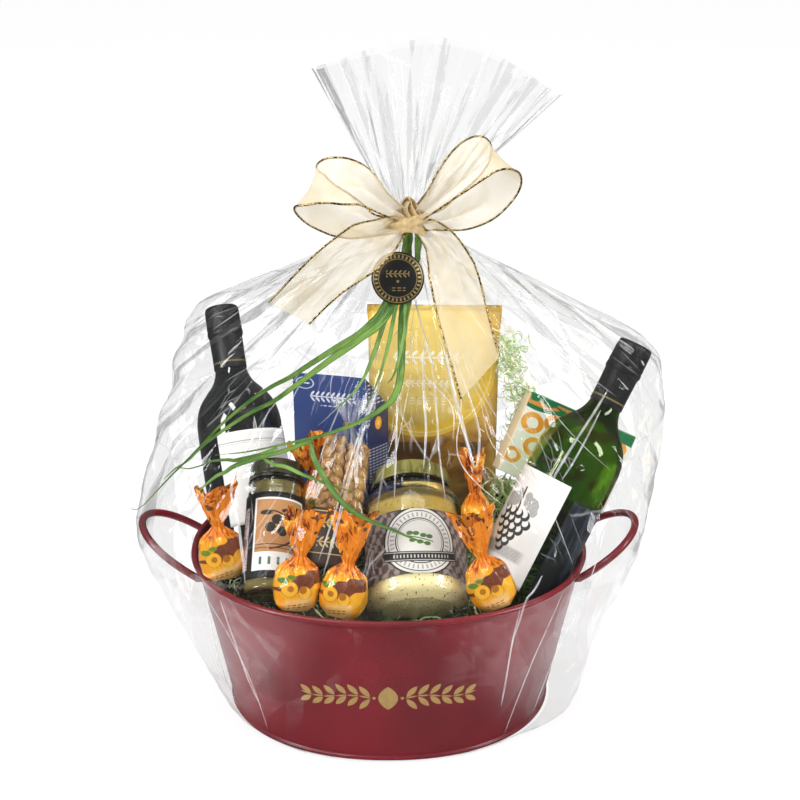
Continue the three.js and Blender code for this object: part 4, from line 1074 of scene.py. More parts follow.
def clear_film(name, gloss, haze_level, neck=(0.017, 0.008, 0.432), facets=17.0, relief=12.0):
    """Thin clear film: see-through, mirror-like at a slant and in glints, and white along its creases, partly as the
    milky look of creased film and partly as painted highlight.
    """
    material, tree, principled = new_material(name, Roughness=0.06)
    crease = put(tree, "ShaderNodeAttribute", attribute_name="crease").outputs["Fac"]
    creased = put(tree, "ShaderNodeGroup", node_tree=film_creases)
    for key, value in zip(("Neck X", "Neck Y", "Neck Z", "Facets"), (*neck, facets)):
        creased.inputs[key].default_value = value
    inputs = {"Height": creased.outputs["Height"], "Strength": 1.0, "Distance": relief * MM}
    bump = put(tree, "ShaderNodeBump", inputs).outputs[0]
    tree.links.new(bump, principled.inputs["Normal"])
    fresnel = put(tree, "ShaderNodeFresnel", {"IOR": 1.45, "Normal": bump}).outputs[0]
    inner = put(tree, "ShaderNodeNewGeometry").outputs["Backfacing"]
    outside = calc(tree, "SUBTRACT", 1.0, calc(tree, "MULTIPLY", inner, 0.6))
    height = put(tree, "ShaderNodeSeparateXYZ", {0: places(tree)}).outputs[2]
    doubled = calc(tree, "ADD", 1.0, spread(tree, height, 0.44, 0.47, 0.0, 0.8))
    shine = calc(tree, "MULTIPLY", calc(tree, "MULTIPLY", fresnel, gloss), doubled)
    mirror = both(tree, calc(tree, "MINIMUM", shine, 0.5), outside)
    # Painted highlight: creases and crease lines turn white and less clear, for the glints along them, added to the
    # film's own milky look.
    crease_white_and_highlight = calc(tree, "ADD", crease, calc(tree, "MULTIPLY", creased.outputs["Lines"], 0.45), clamp=True)
    haze_and_highlight = spread(tree, crease_white_and_highlight, 0.0, 1.0, haze_level, 0.5)
    cover = calc(tree, "ADD", mirror, haze_and_highlight)
    tree.links.new(cover, principled.inputs["Alpha"])
    lit_through(tree, principled, (0.965, 0.965, 0.965))
    tree.links.new(calc(tree, "DIVIDE", mirror, cover), principled.inputs["Metallic"])
    tree.links.new(tint(tree, haze_and_highlight, (0.93, 0.94, 0.95), (0.97, 0.97, 0.97)), principled.inputs["Base Color"])
    return material


def mark_creases(piece, values):
    layer = piece.data.attributes.new("crease", "FLOAT", "POINT")
    layer.data.foreach_set("value", np.asarray(values, dtype=np.float32))


cracker_film = clear_film("cracker_film", 1.2, 0.004, (0.0, 0.0, 0.124), 60.0, 4.0)
shape = clear_bag_shape()
cracker_bag = make_piece("cracker_bag_film", shape, cracker_film, pack_place("pack_crackers"))
mark_creases(cracker_bag, [0.5 * max(0.0, math.sin(9 * math.atan2(p[1], p[0]))) * (p[2] > 96) for p in shape[0]])
band_shape, prints = wrapped(lambda z: 1, 3, 52, math.radians(-176), math.radians(-4), 0, 12, 48)
points = []
for (x, y, z), (u, v) in zip(band_shape[0], prints):
    angle = math.atan2(y, x)
    points.append(oval_point(21.9, 12.9, 2.3, angle, z))
prints = [(p[0], p[2] - 28) for p in points]
band = make_piece("cracker_band", (points, band_shape[1]), label_paper("cracker_band", cracker_band),
                  pack_place("pack_crackers"), prints=prints)
thicken(band, 0.2)
tie_metal, tree, principled = new_material("gold_tie", Metallic=0.9, Roughness=0.3)
glint = clouds(tree, places(tree), 300, 2)
tree.links.new(tint(tree, glint, (0.35, 0.24, 0.08), (0.75, 0.58, 0.28)), principled.inputs["Base Color"])
ties = [tube([(5.0 * math.cos(a), 4.4 * math.sin(a), 124 + rise) for a in np.linspace(0, 2 * math.pi, 33)], 0.8, 8)
        for rise in (-0.9, 0.8)]
tie = make_piece("cracker_tie", joined(ties), tie_metal, pack_place("pack_crackers"))

# Sweets. Round-bottomed sweets in orange foil, gathered over the top and
# twisted, with the loose end opening into a crumpled fan.
SWEET_ROWS = [
    (12, 7, 1, 0), (18, 11.5, 9, 0), (19, 12.5, 22, 0), (16, 11, 34, 0), (6, 5, 43, 0), (4.6, 4, 47, 0),
    (9.5, 6, 57, 0.18), (16.5, 10, 77, 0.26),
]
SWEETS = [
    ((-134.5, -61, 145.5), (-0.12, 0.22, 0.97), 0.25, 1.0), ((-75, -102.6, 140.5), (0.1, 0.3, 0.94), 0.25, 1.06),
    ((-38.5, -107, 137), (0.16, 0.28, 0.94), -0.3, 1.16), ((88, -100, 141.5), (-0.3, 0.2, 0.93), 0.1, 1.1),
    ((74.6, -37, 163), (-0.05, 0.3, 0.95), 1.4, 1.0), ((-53, 3.5, 162), (-0.22, 0.14, 0.965), 0.8, 1.0),
]


def smooth_rows(rows, count):
    """Rows eased between the given ones."""
    table = np.array(rows, dtype=float)
    knots = np.arange(len(table))
    dense = []
    for t in np.linspace(0, len(table) - 1, count):
        i = min(int(t), len(table) - 2)
        before, after = table[max(i - 1, 0)], table[min(i + 2, len(table) - 1)]
        a, b, f = table[i], table[i + 1], t - knots[i]
        slope_a, slope_b = (b - before) / 2, (after - a) / 2
        dense.append((2 * f**3 - 3 * f**2 + 1) * a + (f**3 - 2 * f**2 + f) * slope_a
                     + (3 * f**2 - 2 * f**3) * b + (f**3 - f**2) * slope_b)
    return dense


def crease_noise(x, y, z, scale, seed):
    """Ridged noise: 1 along sharp creases, 0 between them."""
    return 1 - min(1, 2.6 * abs(rough(x, y, z, scale, seed)))


def sweet_shape(seed, end):
    rings, prints = [], []
    for half_x, half_y, z, ruffle in smooth_rows(SWEET_ROWS, 84):
        ring = []
        open_end = max(0, (z - 47) / 30)
        gather = math.exp(-((z - 45) / 9) ** 2)
        for k in range(120):
            angle = 2 * math.pi * k / 120
            x, y, _ = oval_point(half_x, half_y, 2.5, angle, z)
            pleat = 0.2 * gather * math.sin(13 * angle + seed) + 0.09 * gather * math.sin(29 * angle + 2 * seed)
            wave = ruffle * (0.75 * math.sin(3 * angle + seed) + 0.5 * math.sin(7 * angle + 1.7 * seed + 2.4 * open_end))
            crumple = open_end * (0.16 * crease_noise(x, y, z, 0.1, seed) - 0.06)
            dent = 0.05 * rough(x, y, z, 0.09, seed) + 0.03 * (crease_noise(x, y, z, 0.07, seed + 4) - 0.5)
            size = 1 + pleat + wave + crumple + dent
            tip = open_end**2 * (4.5 * math.sin(2 * angle + seed * 1.3) + 2 * math.sin(5 * angle + seed))
            tip += (end - 1) * 40 * open_end
            bend = 2.5 * open_end * math.sin(seed * 2.1)
            ring.append((x * size + bend, y * size, z + tip))
            prints.append((x, z))
        rings.append(ring)
    inner = [[(x * 0.3 + 0.4, y * 0.3, z - 22) for x, y, z in rings[-1]]]
    prints += [(x, z) for x, y, z in rings[-1]]
    points, faces = skin(rings + inner)
    return (points, faces), prints + [(0, 0), (0, 60)]


def sweet_foil():
    material, tree, principled = new_material("orange_foil", Metallic=0.3, Coat_Weight=1.0, Coat_Roughness=0.06)
    across, up = print_map(tree)
    where = places(tree)
    folds = clouds(tree, stretched(tree, where, (1, 1, 0.4)), 95, 4, 0.65, 1.4)
    cells = put(tree, "ShaderNodeTexVoronoi", {"Vector": stretched(tree, where, (1, 1, 0.45)), "Scale": 130.0})
    sharp = calc(tree, "ADD", folds, calc(tree, "MULTIPLY", cells.outputs["Distance"], 0.35))
    # Painted shade and highlight on the twist: dark red-brown in the fold hollows, yellow glints on the fold tops.
    fold_shaded_orange = tint(tree, spread(tree, folds, 0.38, 0.48), (0.34, 0.050, 0.004), (0.94, 0.27, 0.008))
    twist = tint(tree, spread(tree, folds, 0.56, 0.64), fold_shaded_orange, (1.0, 0.62, 0.10))
    body = tint(tree, spread(tree, folds, 0.3, 0.7), (0.97, 0.36, 0.010), (1.0, 0.52, 0.03))
    colour = tint(tree, spread(tree, up, 33.0, 39.0), body, twist)
    spots = both(tree, spread(tree, clouds(tree, where, 150, 1), 0.64, 0.67), spread(tree, up, 44.0, 50.0))
    colour = tint(tree, spots, colour, (0.16, 0.055, 0.012))
    wavy = calc(tree, "MULTIPLY", calc(tree, "SINE", calc(tree, "MULTIPLY", across, 0.42)), 1.8)
    slope = calc(tree, "ADD", calc(tree, "SUBTRACT", up, calc(tree, "MULTIPLY", across, 0.75)), wavy)
    cocoa = both(tree, between(tree, slope, 14.0, 32.0, 0.4), between(tree, up, 17.5, 35.5, 0.5))
    colour = tint(tree, cocoa, colour, tint(tree, clouds(tree, where, 210, 2), (0.13, 0.032, 0.014), (0.27, 0.075, 0.030)))
    for x, y, r, cut_x, cut_y, cut in ((-8.0, 20.0, 6.0, 0.6, 0.4, 0.42), (4.0, 17.5, 4.8, -1.4, 2.4, 0.66)):
        away = from_middle(tree, across, up, x, y)
        colour = tint(tree, below(tree, away, r + 0.5), colour, (0.62, 0.20, 0.010))
        colour = tint(tree, below(tree, away, r), colour, (1.0, 0.52, 0.035))
        middle = from_middle(tree, across, up, x + cut_x, y + cut_y)
        colour = tint(tree, below(tree, middle, r * cut, 0.5), colour, (0.50, 0.17, 0.015))
    leaves = either(tree, below(tree, from_middle(tree, across, up, -13.5, 26.5, 0.6), 2.4),
                    below(tree, from_middle(tree, across, up, -7.5, 29.5, 0.55), 1.9))
    colour = tint(tree, leaves, colour, (0.16, 0.28, 0.03))
    hem = calc(tree, "ADD", up, calc(tree, "MULTIPLY", across, -0.2))
    peach = both(tree, below(tree, hem, 12.5, 2.0), between(tree, across, -11.0, 11.0, 2.0))
    colour = tint(tree, calc(tree, "MULTIPLY", peach, 0.6), colour, (1.0, 0.68, 0.30))
    marks = drawn_rows(tree, across, hem, (3.6, 8.2), 1.5, -8.0, 7.0, 2.3)
    colour = tint(tree, calc(tree, "MULTIPLY", marks, 0.9), colour, (0.13, 0.035, 0.015))
    facing = put(tree, "ShaderNodeSeparateXYZ", {0: where}).outputs[1]
    colour = tint(tree, both(tree, spread(tree, facing, -0.002, 0.001), below(tree, up, 36.0)), colour, body)
    tree.links.new(colour, principled.inputs["Base Color"])
    tree.links.new(spread(tree, folds, 0.3, 0.7, 0.12, 0.28), principled.inputs["Roughness"])
    raise_surface(tree, principled, sharp, 0.8, 2.6)
    return material


orange_foil = sweet_foil()
for i, (foot, axis, twist, end) in enumerate(SWEETS):
    shape, prints = sweet_shape(1.0 + 1.9 * i, end)
    sweet = make_piece(f"sweet_{i + 1}_foil", shape, orange_foil, standing(foot, axis, twist), prints=prints)
    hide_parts(f"sweet_{i + 1}")

# Paper shred. Crinkle-cut strips of pale green and cream paper, heaped in the
# tub under the goods and up behind them. The bed beneath them and most strips
# at the front are painted near-black, as shade.
SHRED_COUNT = 1500
RIM_COUNT = 110
TUFT_COUNT = 230
SHRED_MOUNDS = [((112, 80, 100), (13, 17, 224)), ((-112, 72, 100), (38, 30, 92)), ((-46, 70, 100), (36, 34, 120)),
                ((104, 48, 100), (40, 36, 74))]


def shred_bed():
    """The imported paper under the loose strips."""
    rings = []
    for scale, z, back in ((0.6, 9, 0), (1, 9, 0), (1, 60, 0), (1, 104, 0), (0.93, 114, 0.1), (0.6, 118, 0.2),
                           (0.25, 112, 0.1)):
        half_x, half_y = tub_half(min(z, TUB_HEIGHT), -TUB_WALL - 1)
        ring = []
        for x, y, _ in oval_ring(half_x * scale, half_y * scale, TUB_BEND, z, 96):
            lump = 3 * rough(x, y, z, 0.06, 2) if z > 100 else 0
            ring.append((x, y, z + lump + back * max(0, y)))
        rings.append(ring)
    return skin(rings)


def held_in(p):
    """A point of the shred, drawn back inside the tub's wall where it lies below the rim."""
    if p.z > TUB_HEIGHT + 5:
        return tuple(p)
    half_x, half_y = tub_half(min(p.z, TUB_HEIGHT), -TUB_WALL - 2)
    out = (abs(p.x / half_x) ** TUB_BEND + abs(p.y / half_y) ** TUB_BEND) ** (1 / TUB_BEND)
    return (p.x / max(1, out), p.y / max(1, out), p.z)


def curled_strip(rng, middle, length, width, curl):
    """One strip of paper: a loose curl that wanders off, as a row of point pairs."""
    heading = Vector((rng.gauss(0, 1), rng.gauss(0, 1), 0.5 * rng.gauss(0, 1))).normalized()
    bend_axis = heading.cross(Vector((rng.gauss(0, 1), rng.gauss(0, 1), rng.gauss(0, 1)))).normalized()
    p = Vector(middle)
    steps = 14
    pairs = []
    for step in range(steps):
        side = heading.cross(bend_axis).normalized()
        edge = (bend_axis * 0.8 + side * 0.6).normalized() * width / 2
        pairs.append((held_in(p - edge), held_in(p + edge)))
        heading = (Matrix.Rotation(curl * (0.7 + 0.6 * rng.random()), 3, bend_axis) @ heading).normalized()
        drift = Vector((rng.gauss(0, 0.1), rng.gauss(0, 0.1), rng.gauss(0, 0.1)))
        bend_axis = (bend_axis + drift).normalized()
        p = p + heading * length / steps
    return pairs


def strip_heap(rng, spots, length, width, curls):
    points, faces, tones_and_shades = [], [], []
    for middle in spots:
        pairs = curled_strip(rng, middle, rng.uniform(*length), width, rng.uniform(*curls))
        # Painted shade: most strips at the front are made near-black, for the dark gaps between the goods.
        tone_and_shade = rng.uniform(0.3, 1) if middle[1] > -45 else rng.choice((0.1, 0.14, 0.18, 0.22, 0.95))
        start = len(points)
        for pair in pairs:
            points += pair
            tones_and_shades += [tone_and_shade, tone_and_shade]
        for k in range(len(pairs) - 1):
            a = start + 2 * k
            faces.append((a, a + 1, a + 3, a + 2))
    return (points, faces), tones_and_shades


rng = random.Random(11)
bed_spots, mound_spots, tuft_spots = [], [], []
for _ in range(SHRED_COUNT * 2 // 3):
    angle, out = rng.uniform(0, 2 * math.pi), math.sqrt(rng.random()) * 0.9
    half_x, half_y = tub_half(125, -14)
    x, y = half_x * out * math.cos(angle), half_y * out * math.sin(angle)
    if y > -45 or rng.random() < 0.3:
        bed_spots.append((x, y, 121 + rng.uniform(-3, 5) + 0.12 * max(0, y) - 6 * (y < -45)))
for _ in range(RIM_COUNT):
    angle, out = rng.uniform(math.pi * 1.05, math.pi * 1.95), rng.uniform(0.8, 0.94)
    half_x, half_y = tub_half(130, -10)
    bed_spots.append((half_x * out * math.cos(angle), half_y * out * math.sin(angle), rng.uniform(112, 132)))
while len(mound_spots) < SHRED_COUNT // 3:
    centre, half = rng.choice(SHRED_MOUNDS[1:])
    angle, rise = rng.uniform(0, 2 * math.pi), rng.random()
    out = math.cos(rise * math.pi / 2) * 0.9
    mound_spots.append((centre[0] + half[0] * out * math.cos(angle), centre[1] + half[1] * out * math.sin(angle),
                        centre[2] + half[2] * math.sin(rise * math.pi / 2)))
while len(tuft_spots) < TUFT_COUNT:
    rise = rng.random()
    tuft_spots.append((112 + 9 * math.sin(rise * 5) + rng.gauss(0, 5), 82 + rng.gauss(0, 6), 190 + 112 * rise))
paper, tree, principled = new_material("shredded_paper", Roughness=0.7)
tone_and_shade = put(tree, "ShaderNodeAttribute", attribute_name="tone_and_shade").outputs["Fac"]
where = places(tree)
pale = tint(tree, spread(tree, tone_and_shade, 0.35, 0.8), (0.40, 0.60, 0.24), (0.66, 0.76, 0.44))
pale = tint(tree, spread(tree, tone_and_shade, 0.8, 0.9), pale, (0.82, 0.74, 0.46))
# Painted shade: values below 0.3 turn near-black.
tree.links.new(tint(tree, spread(tree, tone_and_shade, 0.12, 0.3), (0.035, 0.036, 0.018), pale), principled.inputs["Base Color"])
raise_surface(tree, principled, clouds(tree, where, 500, 3), 0.3, 0.3)
bed = make_piece("shred_bed", shred_bed(), paper)
# Painted shade: the bed gets low values, so it is painted near-black under the strips.
bed.data.attributes.new("tone_and_shade", "FLOAT", "POINT").data.foreach_set(
    "value", np.array([0.12 + 0.2 * rough(*[c / MM for c in v.co], 0.2) for v in bed.data.vertices], dtype=np.float32))
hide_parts("paper_shred")
for name, spots, curls in (("shred_strips", bed_spots + mound_spots, (0.15, 0.7)), ("shred_tuft", tuft_spots, (0.35, 0.8))):
    shape, tones_and_shades = strip_heap(rng, spots, (26, 48), 1.5 if name == "shred_strips" else 1.0, curls)
    strips = make_piece(name, shape, paper)
    strips.data.attributes.new("tone_and_shade", "FLOAT", "POINT").data.foreach_set("value", np.array(tones_and_shades, dtype=np.float32))

# Film. One sheet of clear cellophane under the tub, pulled up round everything,
# gathered to a neck and fanned out above it, with sharp folds run from the neck.
NECK = (17, 8, 432)
NECK_RADIUS = 9.5
FAN = {"top": 575, "left_drop": 24, "right_drop": 44, "middle_x": 38, "half_x": 94, "half_y": 32}
BAG_SIDES = 256
BAG_TOP = 424

film_node = bpy.data.objects["film"]
film_corners = [film_node.matrix_world @ v.co for v in film_node.data.vertices]
film_tree = BVHTree.FromPolygons(film_corners, [tuple(p.vertices) for p in film_node.data.polygons])


def film_reach(z, angle):
    """How far the sheet lies from the middle of the bag at a height, in millimetres."""
    middle = Vector((NECK[0] * z / NECK[2], NECK[1] * z / NECK[2], z))
    direction = Vector((math.cos(angle), math.sin(angle), 0))
    hit = film_tree.ray_cast((middle + direction * 400) * MM, -direction)[0]
    return 400 if hit is None else (Vector(hit) / MM - middle).length


def bag_heights():
    return [1.0, 4, 7] + list(np.linspace(10, BAG_TOP, 116))


def bag_crumple(angle, z, reach):
    """Folds that run up to the neck, and flat facets with sharp creases between them."""
    t = z / BAG_TOP
    x, y = reach * math.cos(angle), reach * math.sin(angle)
    rays = crease_noise(math.cos(angle) * 34, math.sin(angle) * 34, z * 0.03, 0.12, 2)
    facets = crease_noise(x, y, z * 0.8, 0.014, 9) + 0.6 * crease_noise(x, y, z, 0.034, 4)
    upper = min(max((t - 0.5) / 0.4, 0), 1)
    return rays**2 * upper, facets * math.sin(math.pi * min(max(t * 1.08, 0.02), 1)) ** 0.5


def film_bag():
    heights = bag_heights()
    angles = [2 * math.pi * k / BAG_SIDES for k in range(BAG_SIDES)]
    reach = np.array([[film_reach(z, a) for a in angles] for z in heights])
    for _ in range(2):
        reach = (np.roll(reach, 1, 1) + 2 * reach + np.roll(reach, -1, 1)) / 4
        reach[1:-1] = (reach[:-2] + 2 * reach[1:-1] + reach[2:]) / 4
    rings, creases = [], []
    for row, z in enumerate(heights):
        middle_x, middle_y = NECK[0] * z / NECK[2], NECK[1] * z / NECK[2]
        ring = []
        for column, angle in enumerate(angles):
            rays, facets = bag_crumple(angle, z, reach[row, column])
            out = reach[row, column] + 1.2 * rays + 2.3 * facets - 1.2
            ring.append((middle_x + out * math.cos(angle), middle_y + out * math.sin(angle), z))
            creases.append(max(0, rays - 0.8) * 1.6 + max(0, facets - 1.4) * 0.5)
        rings.append(ring)
    return rings, creases


def fan_point(t, angle):
    """A point of the open end, and how sharply the film is creased there."""
    spread_out = t**0.9
    half_x = NECK_RADIUS + (FAN["half_x"] - NECK_RADIUS) * spread_out
    half_y = NECK_RADIUS + (FAN["half_y"] - NECK_RADIUS) * spread_out
    across, back = math.cos(angle), math.sin(angle)
    gather = 1 - 0.72 * t
    turn = angle + 0.12 * math.sin(3 * angle + 1)
    narrow = abs(math.sin(12 * turn))
    wide = abs(math.sin(4.5 * turn + 0.8))
    ridge = crease_noise(across * 40, back * 40, t * 26, 0.05, 6)
    pleat = 1 + 0.11 * (narrow - 0.6) * gather + 0.10 * (wide - 0.6) + 0.05 * (ridge - 0.4) * t
    pinch = 0.16 * max(0, abs(across) - 0.6) * math.sin(7 * turn) * t
    drop = FAN["left_drop"] * max(0, -across) ** 1.6 + FAN["right_drop"] * max(0, across) ** 1.6
    notch = 7 * math.exp(-((angle - 5.35) / 0.07) ** 2) + 6 * math.exp(-((angle - 5.85) / 0.06) ** 2)
    top = FAN["top"] - drop - 7 * max(0, back) - notch
    low = NECK[2] + 7
    x = NECK[0] + (FAN["middle_x"] - NECK[0]) * spread_out + half_x * across * (1 + 0.25 * (pleat - 1))
    crease = max(0, ridge - 0.7) * 1.3 * t + 0.5 * max(0, 0.14 - narrow) / 0.14 * gather
    crease += 0.4 * max(0, 0.1 - wide) / 0.1
    return (x, NECK[1] + half_y * back * pleat + half_y * pinch, low + (top - low) * t), crease


rings, creases = film_bag()
for z in np.linspace(BAG_TOP + 3, NECK[2] + 5, 5):
    ring = []
    for column in range(BAG_SIDES):
        angle = 2 * math.pi * column / BAG_SIDES
        out = NECK_RADIUS * (1 + 0.07 * math.sin(24 * angle))
        ring.append((NECK[0] + out * math.cos(angle), NECK[1] + out * math.sin(angle), z))
        creases.append(0.3 * max(0, math.sin(24 * angle)))
    rings.append(ring)
for t in np.linspace(0.02, 1, 56):
    ring = []
    for column in range(BAG_SIDES):
        point, crease = fan_point(t, 2 * math.pi * column / BAG_SIDES)
        ring.append(point)
        creases.append(crease)
    rings.append(ring)
cellophane = clear_film("cellophane", 0.85, 0.003)
film_sheet = make_piece("cellophane_wrap", skin(rings, ends=False), cellophane)
mark_creases(film_sheet, creases)
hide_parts("film")


def on_film(x, z, lift):
    """A point lifted off the front of the film along the sheet's own normal, in millimetres."""
    for inward in range(0, 90, 3):
        start = Vector((x - math.copysign(inward, x - NECK[0]), -340, z)) * MM
        hit, normal, _, _ = film_tree.ray_cast(start, Vector((0, 1, 0)))
        if hit is not None:
            return hit / MM + normal * lift
    return Vector((x, 0, z))


def through(points, count):
    """Points along a smooth curve through the given ones."""
    return smooth_rows([tuple(p) for p in points], count)


def fold_strip(path, half_width, height):
    """A narrow ridge of doubled film along a path on the sheet."""
    path = [Vector(p) for p in path]
    rings = []
    for i, p in enumerate(path):
        t = i / (len(path) - 1)
        along = (path[min(i + 1, len(path) - 1)] - path[max(i - 1, 0)]).normalized()
        side = along.cross(Vector((0, -1, 0.3))).normalized()
        out = side.cross(along).normalized()
        grow = min(1, 4 * t + 0.25, 5 * (1 - t) + 0.05)
        row = [p - side * half_width * grow, p + out * height * grow, p + side * half_width * grow]
        rings.append([tuple(q) for q in row])
    return skin(rings, round_=False, ends=False)


FOLDS = [
    ((-3, 327), (-21, 280), (-36, 231), (-50, 183), 1.2), ((-7, 321), (-28, 269), (-39, 234), (-54, 194), 0.7),
    ((-33, 311), (-49, 276), (-57, 251), (-64, 233), 0.6), ((-92, 296), (-122, 244), (-116, 209), (-112, 167), 1.1),
    ((9, 340), (7, 293), (6, 265), (5, 237), 0.8), ((28, 350), (28, 314), (30, 287), (28, 259), 0.9),
    ((34, 336), (38, 301), (40, 273), (45, 238), 0.7), ((41, 349), (56, 296), (63, 272), (67, 259), 1.4),
    ((50, 341), (69, 291), (71, 274), (69, 259), 1.0), ((177, 296), (161, 277), (137, 249), (122, 227), 1.0),
    ((171, 283), (158, 263), (146, 247), (138, 238), 0.8), ((122, 170), (115, 160), (108, 152), (99, 119), 0.8),
    ((104, 149), (99, 119), (95, 78), (92, 51), 0.7), ((-134, 146), (-124, 108), (-114, 69), (-105, 45), 0.6),
    ((-146, 150), (-143, 97), (-135, 55), (-126, 31), 0.7), ((-148, 319), (-107, 350), (-64, 376), (-22, 399), 0.5),
    ((12, 425), (2, 380), (-6, 350), (-10, 330), 0.6), ((16, 425), (20, 385), (28, 355), (36, 330), 0.8),
    ((24, 425), (80, 380), (135, 330), (185, 290), 0.7), ((-150, 150), (-128, 110), (-112, 70), (-100, 20), 0.45),
    ((140, 150), (122, 105), (108, 60), (96, 18), 0.5), ((176, 190), (160, 140), (138, 90), (120, 30), 0.5),
]
LOOSE_FOLDS = 22
folds = []
chance = random.Random(5)
for _ in range(LOOSE_FOLDS):
    far_x, far_z = chance.uniform(-205, 205), chance.uniform(120, 330)
    first, last = chance.uniform(0.05, 0.6), chance.uniform(0.65, 1.0)
    stops = [(NECK[0] + (far_x - NECK[0]) * s + chance.gauss(0, 5), 424 + (far_z - 424) * s)
             for s in np.linspace(first, last, 4)]
    FOLDS.append((*stops, chance.uniform(0.25, 0.5)))
for *stops, width in FOLDS:
    path = [on_film(x, z, 1.6) for x, z in np.array(through(stops, 60))]
    for _ in range(4):
        path[1:-1] = [(a + b * 2 + c) / 4 for a, b, c in zip(path, path[1:-1], path[2:])]
    folds.append(fold_strip(path, width, 0.8 * width))
# The fold strips are whiter and less clear than the sheet: doubled film, and painted highlight along the folds.
fold_film = clear_film("folded_film", 3.0, 0.24)
fold_piece = make_piece("cellophane_folds", joined(folds), fold_film)
mark_creases(fold_piece, [0.15 + 0.9 * abs(noise.noise(v.co * 45)) for v in fold_piece.data.vertices])

# Bow. Sheer organza ribbon with a gold wired edge, looped twice, bound in a
# knot at the neck, with two tails hanging over the front of the bag.
RIBBON_WIDTH = 38
RIBBON_PLEATS = 2
KNOT = Vector((17, -17, 438))
WIRE_RADIUS = 0.8
BOW_LEAN = math.radians(24)
LOOPS = {
    "left": ([(-1, 1, 6), (-20, 11, 26), (-36, 22, 38), (-52, 25.5, 42), (-67, 25.5, 38), (-76, 21, 28), (-70, 13, 18),
              (-55, 5, 12), (-40, -1, 10), (-27, -4, 9), (-2, -4, 6)],
             [(0.45, 0.80, -0.40), (0.42, 0.84, -0.35), (0.46, 0.89, 0.0), (0.42, 0.80, -0.40), (0.30, 0.90, -0.30)]),
    "right": ([(2, 1, 6), (17, 13, 24), (32, 28, 34), (50, 43, 38), (63, 46, 36), (72, 41, 28), (71, 31, 18),
               (58, 16, 12), (40, 5, 10), (25, 0, 9), (3, -3, 6)],
              [(-0.60, 0.58, -0.50), (-0.50, 0.70, -0.45), (-0.55, 0.62, -0.42), (-0.42, 0.74, -0.48),
               (-0.30, 0.86, -0.40)]),
}
TAILS = {
    "left": [(-6, -3, 8), (-20, -13, 15), (-37, -24, 19), (-64, -44, 18), (-92, -72, 17)],
    "right": [(10, -4, 8), (24, -18, 7), (34, -44, 6), (42, -78, 10), (54, -121, 15)],
}


def pleat_depth(width, full=RIBBON_WIDTH):
    """How deep the small pleats are where the full ribbon is gathered to a width."""
    low, high = 0.0, full
    steps = np.linspace(0, 1, 49)
    for _ in range(30):
        middle = (low + high) / 2
        lift = middle * np.sin(2 * math.pi * RIBBON_PLEATS * steps)
        length = np.hypot(np.diff(steps * width), np.diff(lift)).sum()
        low, high = (middle, high) if length < full else (low, middle)
    return low


def ribbon_rows(path, across_at, width_at, slope_end=0.0):
    """Rows of points over a gathered ribbon, equal in flat width all along."""
    rows = []
    for i, p in enumerate(path):
        t = i / (len(path) - 1)
        along = (path[min(i + 1, len(path) - 1)] - path[max(i - 1, 0)]).normalized()
        side = across_at(t, along)
        side = (side - along * side.dot(along)).normalized()
        face = along.cross(side).normalized()
        width = width_at(t)
        depth = pleat_depth(width) if width < RIBBON_WIDTH - 0.05 else 0.0
        row = []
        for k in range(49):
            s = k / 48
            cut = slope_end * (s - 0.5) * max(0, (t - 0.8) / 0.2)
            lift = depth * math.sin(2 * math.pi * RIBBON_PLEATS * s)
            row.append(p + side * (s - 0.5) * width + face * lift + along * cut)
        rows.append(row)
    return rows


def organza():
    material, tree, principled = new_material("organza", Roughness=0.4, Sheen_Weight=0.3)
    where = places(tree)
    mist = clouds(tree, where, 34, 3, 0.55, 0.8)
    weave = clouds(tree, where, 1400, 1)
    colour = tint(tree, spread(tree, mist, 0.3, 0.7), (0.60, 0.49, 0.29), (0.78, 0.69, 0.49))
    tree.links.new(colour, principled.inputs["Base Color"])
    slant = put(tree, "ShaderNodeLayerWeight", {"Blend": 0.35}).outputs["Facing"]
    cover = calc(tree, "ADD", calc(tree, "MULTIPLY", slant, 0.42), spread(tree, mist, 0.25, 0.75, 0.56, 0.36))
    cover = calc(tree, "ADD", cover, calc(tree, "MULTIPLY", weave, 0.08), clamp=True)
    tree.links.new(cover, principled.inputs["Alpha"])
    raise_surface(tree, principled, mist, 0.4, 1.5)
    return material


def gold_wire():
    material, tree, principled = new_material("gold_wire", Metallic=1.0)
    glint = clouds(tree, places(tree), 420, 3, 0.7)
    tree.links.new(tint(tree, spread(tree, glint, 0.4, 0.6), (0.16, 0.11, 0.03), (0.86, 0.66, 0.30)),
                   principled.inputs["Base Color"])
    tree.links.new(spread(tree, glint, 0.3, 0.7, 0.18, 0.45), principled.inputs["Roughness"])
    raise_surface(tree, principled, glint, 0.8, 0.5)
    return material


sheer, wire = organza(), gold_wire()


def tie_ribbon(name, rows, node):
    """The sheer strip with its two wired edges, at the size it was cut to."""
    count = len(rows[0])
    points = [tuple(p) for row in rows for p in row]
    faces = [(r * count + c, r * count + c + 1, (r + 1) * count + c + 1, (r + 1) * count + c)
             for r in range(len(rows) - 1) for c in range(count - 1)]
    strip = make_piece(name, (points, faces), sheer)
    if node:
        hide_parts(node)
    edges = [tube([row[k] for row in rows], WIRE_RADIUS, 8) for k in (0, -1)]
    edging = make_piece(name + "_wire", joined(edges), wire)
    return strip


def leaning(right, up, near):
    """A step in the bow's own plane, which leans back, as a step in the basket's measures."""
    c, s = math.cos(BOW_LEAN), math.sin(BOW_LEAN)
    return Vector((right, s * up - c * near, c * up + s * near))


def eased(values, t):
    """Vectors blended in turn as t goes from 0 to 1."""
    at = min(t, 0.9999) * (len(values) - 1)
    i = int(at)
    return values[i].lerp(values[i + 1], at - i)


